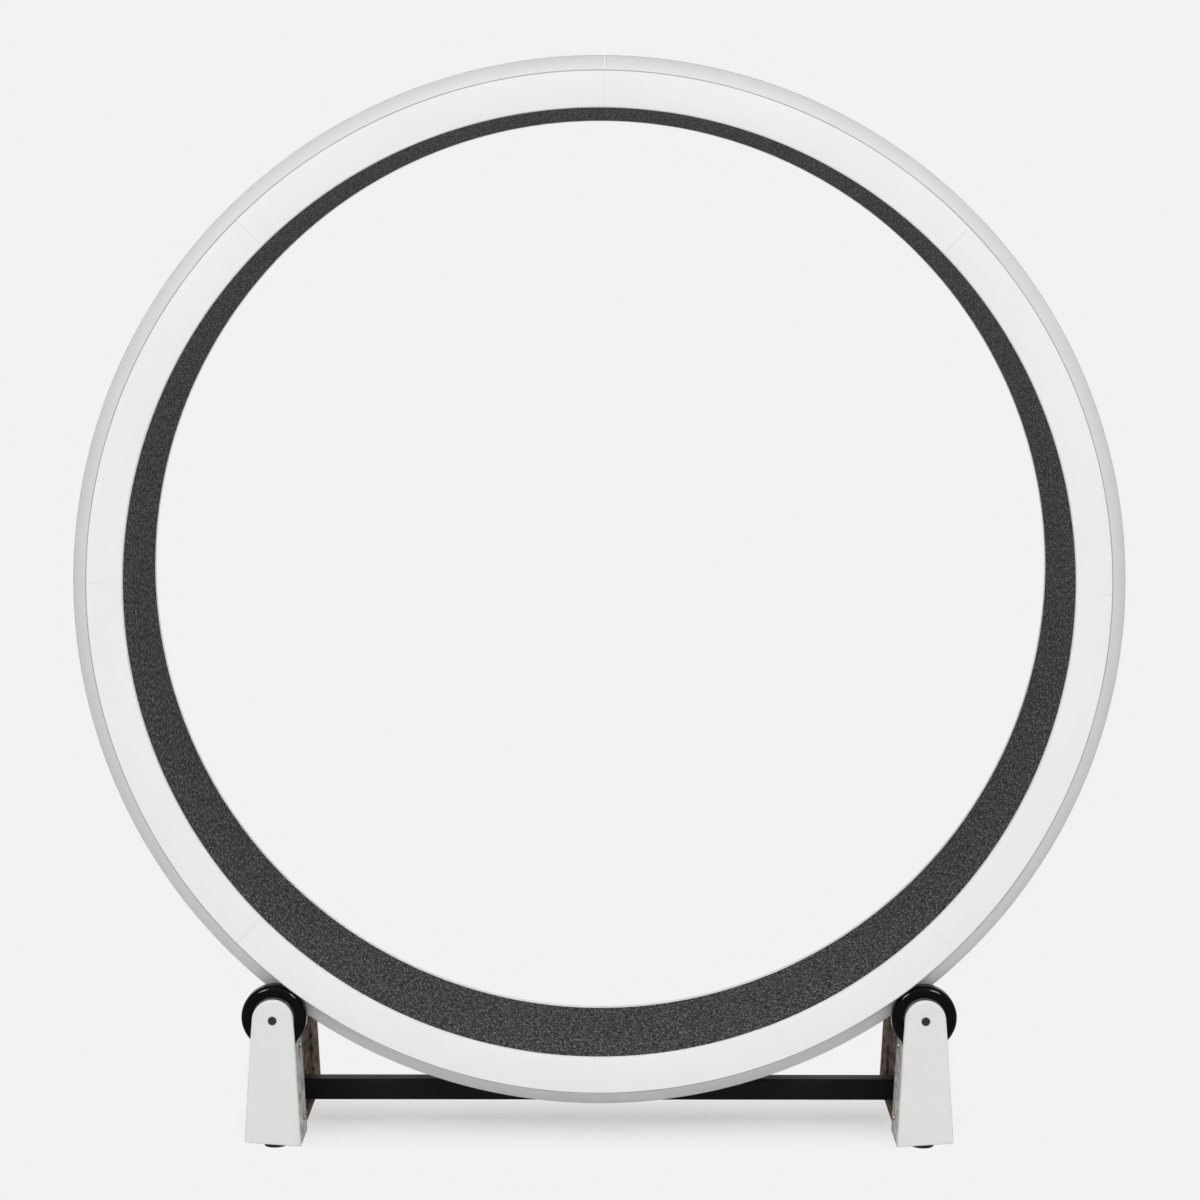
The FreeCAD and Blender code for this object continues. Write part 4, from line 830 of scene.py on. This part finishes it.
class CATWHEEL_OT_white_ring(Operator):
    """Sweep the ring's section into one segment and repeat it round the wheel"""

    bl_idname = "catwheel.white_ring"
    bl_label = "White ring"

    def section(self, ring):
        """The moulding's section as corners (across, radius, rounding)."""
        seat = ring.running_radius + ring.seat_depth
        lip = FACE_HALF_WIDTH - ring.lip_width
        opening = lip - ring.seat_width
        inside = FACE_HALF_WIDTH - ring.wall
        return mirrored([
            (FACE_HALF_WIDTH, ring.track_radius, ring.track_round),
            (FACE_HALF_WIDTH, ring.running_radius, ring.lip_round),
            (lip, ring.running_radius, ring.lip_round),
            (lip, seat, 0), (opening, seat, 0), (opening, seat + ring.wall, 0),
            (inside, seat + ring.wall, 0), (inside, ring.track_radius - ring.wall, 0)])

    def execute(self, context):
        ring = context.scene.catwheel_ring
        loop = rounded_loop(self.section(ring))
        bevelled = inset_loop(loop, ring.seam_bevel)
        half_angle = math.pi / ring.segments - ring.seam_gap / 2 / ring.track_radius
        inner = half_angle - ring.seam_bevel / ring.track_radius
        angles = [inner * (2 * step / ring.steps - 1) for step in range(ring.steps + 1)]
        made = bmesh.new()
        origin = Vector()
        rings = [ring_of(made, bevelled, -half_angle, origin)]
        rings += [ring_of(made, loop, angle, origin) for angle in angles]
        rings.append(ring_of(made, bevelled, half_angle, origin))
        piece = loft("white_ring", made, rings)
        material = ring_white(ring)
        grow(piece, round_array_tree(), Count=ring.segments, Centre=WHEEL_CENTRE,
             First_Angle=math.pi / ring.segments + ring.turn, Material=material)
        fit_out(piece, material, "wheel", "rim", *RIM_NODES)
        paint(white_moulding("deck_panel_grey", DECK_GREY, 0.08, 0.6)[0], *DECK_NODES)
        return {"FINISHED"}


class CATWHEEL_OT_guide_hoops(Operator):
    """Roll the two angle strips that keep the rollers on their track"""

    bl_idname = "catwheel.guide_hoops"
    bl_label = "Guide hoops"

    def section(self, ring, hoop, side):
        """The angle's section as corners (across, radius, rounding)."""
        face = FACE_HALF_WIDTH - hoop.track_width
        back = face - hoop.thickness
        seat = ring.track_radius + hoop.bond
        foot = seat + hoop.foot_thickness
        corners = [
            (face, seat, 0), (face - hoop.draft, HOOP_RADIUS, hoop.tip_round),
            (back + hoop.draft, HOOP_RADIUS, hoop.tip_round), (back, foot, hoop.root_round),
            (back - hoop.foot_width, foot, hoop.root_round), (back - hoop.foot_width, seat, 0)]
        return [(side * across, radius, rounding) for across, radius, rounding in corners]

    def execute(self, context):
        ring = context.scene.catwheel_ring
        hoop = context.scene.catwheel_hoop
        material = hoop_grey(ring, hoop)
        opening = hoop.joint_gap / HOOP_RADIUS
        angles = [ring.turn + opening / 2 + (math.tau - opening) * step / hoop.steps
                  for step in range(hoop.steps + 1)]
        for end, side in (("front", -1), ("rear", 1)):
            loop = rounded_loop(self.section(ring, hoop, side))
            made = bmesh.new()
            rings = [ring_of(made, loop, angle, WHEEL_CENTRE) for angle in angles]
            piece = loft(f"guide_hoop_{end}_dressed", made, rings)
            fit_out(piece, material, "wheel", "hoop", f"guide_hoop_{end}")
        return {"FINISHED"}


class CATWHEEL_OT_running_mat(Operator):
    """Turn the felt-faced mat and give its face an uneven nap"""

    bl_idname = "catwheel.running_mat"
    bl_label = "Running mat"

    def execute(self, context):
        mat = context.scene.catwheel_mat
        inner = MAT_OUTER_RADIUS - mat.thickness + mat.nap_depth * 0.25
        corners = rounded_loop([
            (-MAT_HALF_WIDTH, MAT_OUTER_RADIUS, 0), (-MAT_HALF_WIDTH, inner, mat.edge_round),
            (MAT_HALF_WIDTH, inner, mat.edge_round), (MAT_HALF_WIDTH, MAT_OUTER_RADIUS, 0)], 4)
        loop = []
        for index, point in enumerate(corners):
            gap = corners[(index + 1) % len(corners)] - point
            # only the running face, the long side near the axis, is cut up for the nap
            is_face = point.y < MAT_OUTER_RADIUS - mat.thickness / 2
            pieces = mat.steps_across if is_face and gap.length > MAT_HALF_WIDTH else 1
            loop += [point + gap * step / pieces for step in range(pieces)]
        piece = lathe("felt_running_mat", loop, WHEEL_CENTRE, mat.steps_round, with_uv=True)
        material = felt(mat)
        grow(piece, felt_nap_tree(), Depth=mat.nap_depth, Hollow_Size=mat.nap_size, Seed=4.0,
             Material=material)
        piece.data.shade_smooth()
        fit_out(piece, material, "wheel", "mat", "running_mat")
        return {"FINISHED"}


class CATWHEEL_OT_rollers(Operator):
    """Turn the tyres and hubs, with ribs in the hubs' webs"""

    bl_idname = "catwheel.rollers"
    bl_label = "Rollers"

    def tyre_section(self, roller):
        half = roller.half_width
        return mirrored([(half, roller.radius, half - roller.tread),
                         (half, roller.hub_radius, 0)])

    def hub_section(self, roller):
        half, recess = roller.half_width, roller.web_recess
        seat = roller.bearing_radius
        shoulder = half - roller.bearing_depth
        edge = 0.4 * MM
        return mirrored([
            (half - edge, roller.hub_radius, 0), (half, roller.hub_radius - edge, 0.2 * MM),
            (half, roller.hub_radius - 2 * recess, 0.5 * MM),
            (half - recess, roller.hub_radius - 3 * recess, 0.6 * MM),
            (half - recess, seat + 3 * recess, 0.6 * MM),
            (half, seat + 2 * recess, 0.5 * MM), (half, seat, 0.2 * MM),
            (shoulder, seat, 0), (shoulder, seat - recess, 0)])

    def rib(self, roller):
        """One pair of ribs, on both sides of the web, drawn above the axis."""
        recess = roller.web_recess
        low = roller.bearing_radius + 2.4 * recess
        high = roller.hub_radius - 2.4 * recess
        outside = roller.half_width - 0.25 * recess
        inside = roller.half_width - 2 * recess
        bevel = 0.2 * MM
        made = bmesh.new()
        for side in (-1, 1):
            size = Vector((roller.rib_thickness, outside - inside, high - low))
            middle = Vector((0, side * (outside + inside) / 2, (high + low) / 2))
            block = Matrix.Translation(middle) @ Matrix.Diagonal((*size, 1))
            corners = bmesh.ops.create_cube(made, size=1.0, matrix=block)["verts"]
            edges = {edge for corner in corners for edge in corner.link_edges}
            bmesh.ops.bevel(made, geom=list(edges), offset=bevel, segments=2, profile=0.5,
                            affect="EDGES")
        return finish_mesh("hub_ribs", made)

    def execute(self, context):
        roller = context.scene.catwheel_roller
        rubber = glossy_tyre(roller)
        nylon = dark_moulding("hub_black", roller.hub_colour, 0.42)
        steel = metal("bearing_steel", BEARING_STEEL, 0.28, (1.0, 6.0, 1.0))
        ribs_tree = round_array_tree()
        tyre_loop = rounded_loop(self.tyre_section(roller), 16)
        hub_loop = rounded_loop(self.hub_section(roller), 3)
        for place in ROLLER_PLACES:
            centre = Vector(JOINTS[f"{place}_roller_spin"]["pos_m"])
            body = f"{place}_roller"
            for slot, loop, material in (("tyre", tyre_loop, rubber), ("hub", hub_loop, nylon)):
                piece = lathe(f"{slot}_{place}", loop, centre, roller.steps)
                fit_out(piece, material, body, slot, f"roller_{slot}_{place}")
            ribs = grow(self.rib(roller), ribs_tree, Count=roller.ribs, First_Angle=0.0,
                        Centre=centre, Material=nylon)
            ribs.name = f"hub_ribs_{place}"
            fit_out(ribs, nylon, body, "hub")
            paint(steel, f"roller_bearings_{place}")
        return {"FINISHED"}


class CATWHEEL_OT_legs(Operator):
    """Finish the white legs and their streaked covers"""

    bl_idname = "catwheel.legs"
    bl_label = "Legs and covers"

    def execute(self, context):
        stand = context.scene.catwheel_stand
        white = white_moulding("leg_white", stand.leg_colour, 0.07, 0.34)[0]
        streaked = streaked_cover(stand)
        for side, _ in SIDES:
            for part, slot, material in (("shell", "leg", white), ("cover", "cover", streaked)):
                node = f"{side}_leg_{part}"
                piece = smooth_copy(node, f"{side}_{slot}", stand.edge_round)
                fit_out(piece, material, "stand", slot, node)
        return {"FINISHED"}


class CATWHEEL_OT_cover_screws(Operator):
    """Shape one cross-recessed screw and put it at its places on both covers"""

    bl_idname = "catwheel.cover_screws"
    bl_label = "Cover screws"

    def screw(self, stand):
        """A pan head with a crossed slot, its top facing +X."""
        radius, height = stand.screw_head, stand.screw_height
        steps = 32
        # the head as shares of its radius and its height, from the slot's edge outwards
        head = [(0.45, 1.0), (0.8, 0.9), (0.95, 0.72), (1.0, 0.45), (1.0, 0.0)]
        made = bmesh.new()

        def outline(points, reach, rise):
            return [made.verts.new((height * rise, y * radius * reach, z * radius * reach))
                    for y, z in points]

        circle = [(math.cos(math.tau * step / steps), math.sin(math.tau * step / steps))
                  for step in range(steps)]
        layers = [outline(circle, reach, rise) for reach, rise in head]
        for first, second in zip(layers, layers[1:]):
            join_rings(made, first, second)
        made.faces.new(list(reversed(layers[-1])))
        # the recess: a cross that narrows downwards, cut into the middle of the head
        arm, half, depth = 0.45, 0.095, 0.55
        quarter = [(arm, half), (half, half), (half, arm)]
        cross = quarter + [(-y, z) for y, z in reversed(quarter)]
        cross += [(-y, -z) for y, z in quarter] + [(y, -z) for y, z in reversed(quarter)]
        top = outline(cross, 0.9, 1.0)
        low = outline(cross, 0.75, 1 - depth)
        join_rings(made, top, low)
        made.faces.new(list(reversed(low)))
        edges = [made.edges.get(pair) for loop in (layers[0], top)
                 for pair in zip(loop, loop[1:] + loop[:1])]
        bmesh.ops.triangle_fill(made, use_beauty=True, use_dissolve=False, edges=edges)
        return finish_mesh("cover_screws_dressed", made)

    def seat(self, stand, height, end):
        """How far from the middle the CAD screw at this height and end meets its cover."""
        reach = stand.screw_head * 1.2
        near = [vertex.co.x for vertex in frame["nodes"]["cover_screws"].data.vertices
                if vertex.co.x > 0 and abs(vertex.co.z - height) < reach
                and abs(vertex.co.y - end * stand.screw_side) < reach]
        return min(near) + stand.screw_height

    def execute(self, context):
        stand = context.scene.catwheel_stand
        zinc = metal("zinc_plated", ZINC, 0.34, (2.0, 2.0, 2.0))
        bronze = metal("bronzed_steel", BRONZE, 0.42, (2.0, 2.0, 2.0))
        # the cover's face leans and steps back behind its front plate, so a screw's seat
        # differs with its height and its end
        low_front = self.seat(stand, stand.screw_low, -1)
        piece = grow(self.screw(stand), cover_screw_tree(), Offset=stand.screw_side,
                     Low=stand.screw_low, High=stand.screw_high, Low_Face=low_front,
                     High_Face=self.seat(stand, stand.screw_high, -1),
                     Rear_Step=self.seat(stand, stand.screw_low, 1) - low_front,
                     Material=bronze)
        fit_out(piece, bronze, "stand", "fastener", "cover_screws")
        paint(zinc, "deck_screws", "joint_bolts", "joint_nuts", "foot_screws",
              "crossbar_washers", "axle_nuts", "axle_spacers")
        paint(metal("blackened_steel", BLACKENED, 0.38, (1.0, 3.0, 1.0)), "axle_bolts",
              "crossbar_bolts")
        return {"FINISHED"}


class CATWHEEL_OT_crossbar(Operator):
    """Finish the black crossbar and its end plugs"""

    bl_idname = "catwheel.crossbar"
    bl_label = "Crossbar"

    def execute(self, context):
        stand = context.scene.catwheel_stand
        bar = smooth_copy("crossbar", "crossbar_tube")
        fit_out(bar, powder_coat(stand), "stand", "crossbar", "crossbar")
        paint(dark_moulding("plug_black", PLUG_BLACK), "crossbar_plugs")
        return {"FINISHED"}


class CATWHEEL_OT_feet(Operator):
    """Turn the rubber feet, with a rounded edge and two fine grooves"""

    bl_idname = "catwheel.feet"
    bl_label = "Rubber feet"

    def section(self, stand):
        """A foot's section as corners (height, radius, rounding)."""
        taper, top = stand.foot_taper, stand.foot_height
        bottom = stand.foot_radius - taper
        screw_hole, head_hole, head_top = 2.3 * MM, 4.4 * MM, 5.4 * MM
        groove, groove_heights = 0.5 * MM, (3.6 * MM, 6.4 * MM)

        def side(height):
            return bottom + taper * height / top

        corners = [(0.0, head_hole, 0.3 * MM), (0.0, bottom, 0.9 * MM)]
        for height in groove_heights:
            corners += [(height - groove, side(height - groove), 0),
                        (height, side(height) - groove, 0),
                        (height + groove, side(height + groove), 0)]
        return corners + [(top, stand.foot_radius, 0), (top, screw_hole, 0),
                          (head_top, screw_hole, 0), (head_top, head_hole, 0)]

    def execute(self, context):
        stand = context.scene.catwheel_stand
        low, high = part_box("rubber_feet")
        reach_x = high.x - stand.foot_radius
        reach_y = high.y - stand.foot_radius
        loop = rounded_loop(self.section(stand), 4)
        made = bmesh.new()
        for x in (-reach_x, reach_x):
            for y in (-reach_y, reach_y):
                foot = lathe("rubber_foot", loop, Vector((x, y, low.z)), 56, axis="Z")
                made.from_mesh(foot.data)
                bpy.data.objects.remove(foot)
        piece = finish_mesh("four_rubber_feet", made)
        rubber = dark_moulding("foot_rubber", FOOT_BLACK, 0.62)
        fit_out(piece, rubber, "stand", "foot", "rubber_feet")
        return {"FINISHED"}


class CATWHEEL_OT_stage(Operator):
    """Set up the pale floor, the soft light and the camera"""

    bl_idname = "catwheel.stage"
    bl_label = "Studio"

    def floor(self, stage):
        made = bmesh.new()
        bmesh.ops.create_grid(made, x_segments=1, y_segments=1, size=30.0)
        piece = finish_mesh("studio_floor", made)
        material, tree, shader = new_material(
            "studio_floor", Roughness=0.9, Specular_IOR_Level=0.1,
            Base_Color=(stage.floor, stage.floor, stage.floor, 1.0))
        # the camera sees the backdrop's level everywhere but under the stand, where the
        # floor's own shadow shows through and fades out over the reach
        stand_half, reach, darkest = (0.33, 0, 0), (0.12, 0.165, 1.0), 0.58
        place = tree.vector_math("ABSOLUTE", object_place(tree))
        beyond = tree.vector_math("MAXIMUM", tree.vector_math("SUBTRACT", place, stand_half))
        distance = tree.length(tree.vector_math("DIVIDE", beyond, reach))
        share = tree.ramp(distance, 0.0, 0.9, darkest, 1.0)
        path = tree.add("ShaderNodeLightPath").outputs
        seen = tree.math("MULTIPLY", share, path["Is Camera Ray"])
        glow = tree.add("ShaderNodeEmission", {"Color": (stage.backdrop,) * 3 + (1.0,)})
        mixed = tree.add("ShaderNodeMixShader", {0: seen, 1: shader.outputs[0], 2: glow.outputs[0]})
        tree.link(mixed.outputs[0], material.node_tree.nodes["Material Output"].inputs["Surface"])
        piece.data.materials.append(material)

    def world(self, stage):
        """Plain light from all round; the eye and reflections see the backdrop's level."""
        world = bpy.data.worlds.new("studio")
        bpy.context.scene.world = world
        world.use_nodes = True
        world.node_tree.nodes.clear()
        tree = Tree(world.node_tree)
        path = tree.add("ShaderNodeLightPath").outputs
        mirrored_ray = tree.math("MAXIMUM", path["Is Glossy Ray"], path["Is Transmission Ray"])
        direct = tree.math("MAXIMUM", path["Is Camera Ray"], mirrored_ray)
        back = tree.add("ShaderNodeBackground", {
            "Color": (1.0, 1.0, 1.0, 1.0),
            "Strength": tree.ramp(direct, 0.0, 1.0, stage.sky, stage.backdrop)})
        tree.add("ShaderNodeOutputWorld", {"Surface": back.outputs[0]})

    def lamp(self, name, kind, place, energy, **settings):
        """A lamp that faces the middle of the wheel."""
        data = bpy.data.lights.new(name, kind)
        data.energy = energy
        for key, value in settings.items():
            setattr(data, key, value)
        lamp = bpy.data.objects.new(name, data)
        lamp.location = place
        aim = Vector((0.0, 0.0, 0.5)) - Vector(place)
        lamp.rotation_euler = aim.to_track_quat("-Z", "Y").to_euler()
        bpy.context.scene.collection.objects.link(lamp)
        return lamp

    def camera(self, stage):
        data = bpy.data.cameras.new("photo_camera")
        data.lens = stage.lens
        data.sensor_width = 36.0
        data.clip_end = 200.0
        camera = bpy.data.objects.new("photo_camera", data)
        camera.location = stage.camera_place
        camera.rotation_euler = (math.pi / 2 - stage.camera_tilt, 0.0, stage.camera_turn)
        bpy.context.scene.collection.objects.link(camera)
        bpy.context.scene.camera = camera

    def execute(self, context):
        stage = context.scene.catwheel_stage
        self.floor(stage)
        self.world(stage)
        self.lamp("overhead", "SUN", (0.0, -1.6, 3.6), stage.overhead, angle=math.radians(70))
        for name, side in SIDES:
            place = (side * 2.0, -3.0, 2.6)
            self.lamp(f"side_{name}", "AREA", place, stage.side, size=0.5, shape="SQUARE")
            # seen only in gloss, so it glints on the black tyres and brightens nothing else
            card = self.lamp(f"glint_{name}", "AREA", place, stage.glint, size=1.0,
                             size_y=1.0, shape="RECTANGLE")
            card.visible_diffuse = False
        self.camera(stage)
        context.scene.view_settings.view_transform = "Standard"
        return {"FINISHED"}


OPERATORS = (
    CATWHEEL_OT_shared_finishes,
    CATWHEEL_OT_white_ring,
    CATWHEEL_OT_guide_hoops,
    CATWHEEL_OT_running_mat,
    CATWHEEL_OT_rollers,
    CATWHEEL_OT_legs,
    CATWHEEL_OT_cover_screws,
    CATWHEEL_OT_crossbar,
    CATWHEEL_OT_feet,
    CATWHEEL_OT_stage,
)

SETTINGS = {
    "catwheel_ring": RingSettings,
    "catwheel_hoop": HoopSettings,
    "catwheel_mat": MatSettings,
    "catwheel_roller": RollerSettings,
    "catwheel_stand": StandSettings,
    "catwheel_stage": StageSettings,
}


class CATWHEEL_PT_sidebar(Panel):
    """Lists the settings and the steps that build the wheel"""

    bl_idname = "CATWHEEL_PT_sidebar"
    bl_label = "Cat wheel"
    bl_space_type = "VIEW_3D"
    bl_region_type = "UI"
    bl_category = "Cat wheel"

    def draw(self, context):
        for name in SETTINGS:
            settings = getattr(context.scene, name)
            box = self.layout.box()
            for label in settings.__annotations__:
                box.prop(settings, label)
        for operator in OPERATORS:
            self.layout.operator(operator.bl_idname)


CLASSES = (*SETTINGS.values(), *OPERATORS, CATWHEEL_PT_sidebar)


def register():
    for kind in CLASSES:
        bpy.utils.register_class(kind)
    for name, kind in SETTINGS.items():
        setattr(bpy.types.Scene, name, PointerProperty(type=kind))


def unregister():
    for name in SETTINGS:
        delattr(bpy.types.Scene, name)
    for kind in reversed(CLASSES):
        bpy.utils.unregister_class(kind)


def main():
    register()
    for operator in OPERATORS:
        family, name = operator.bl_idname.split(".")
        result = getattr(getattr(bpy.ops, family), name)()
        if result != {"FINISHED"}:
            raise RuntimeError(f"{operator.bl_idname} did not finish")


if __name__ == "__main__":
    main()
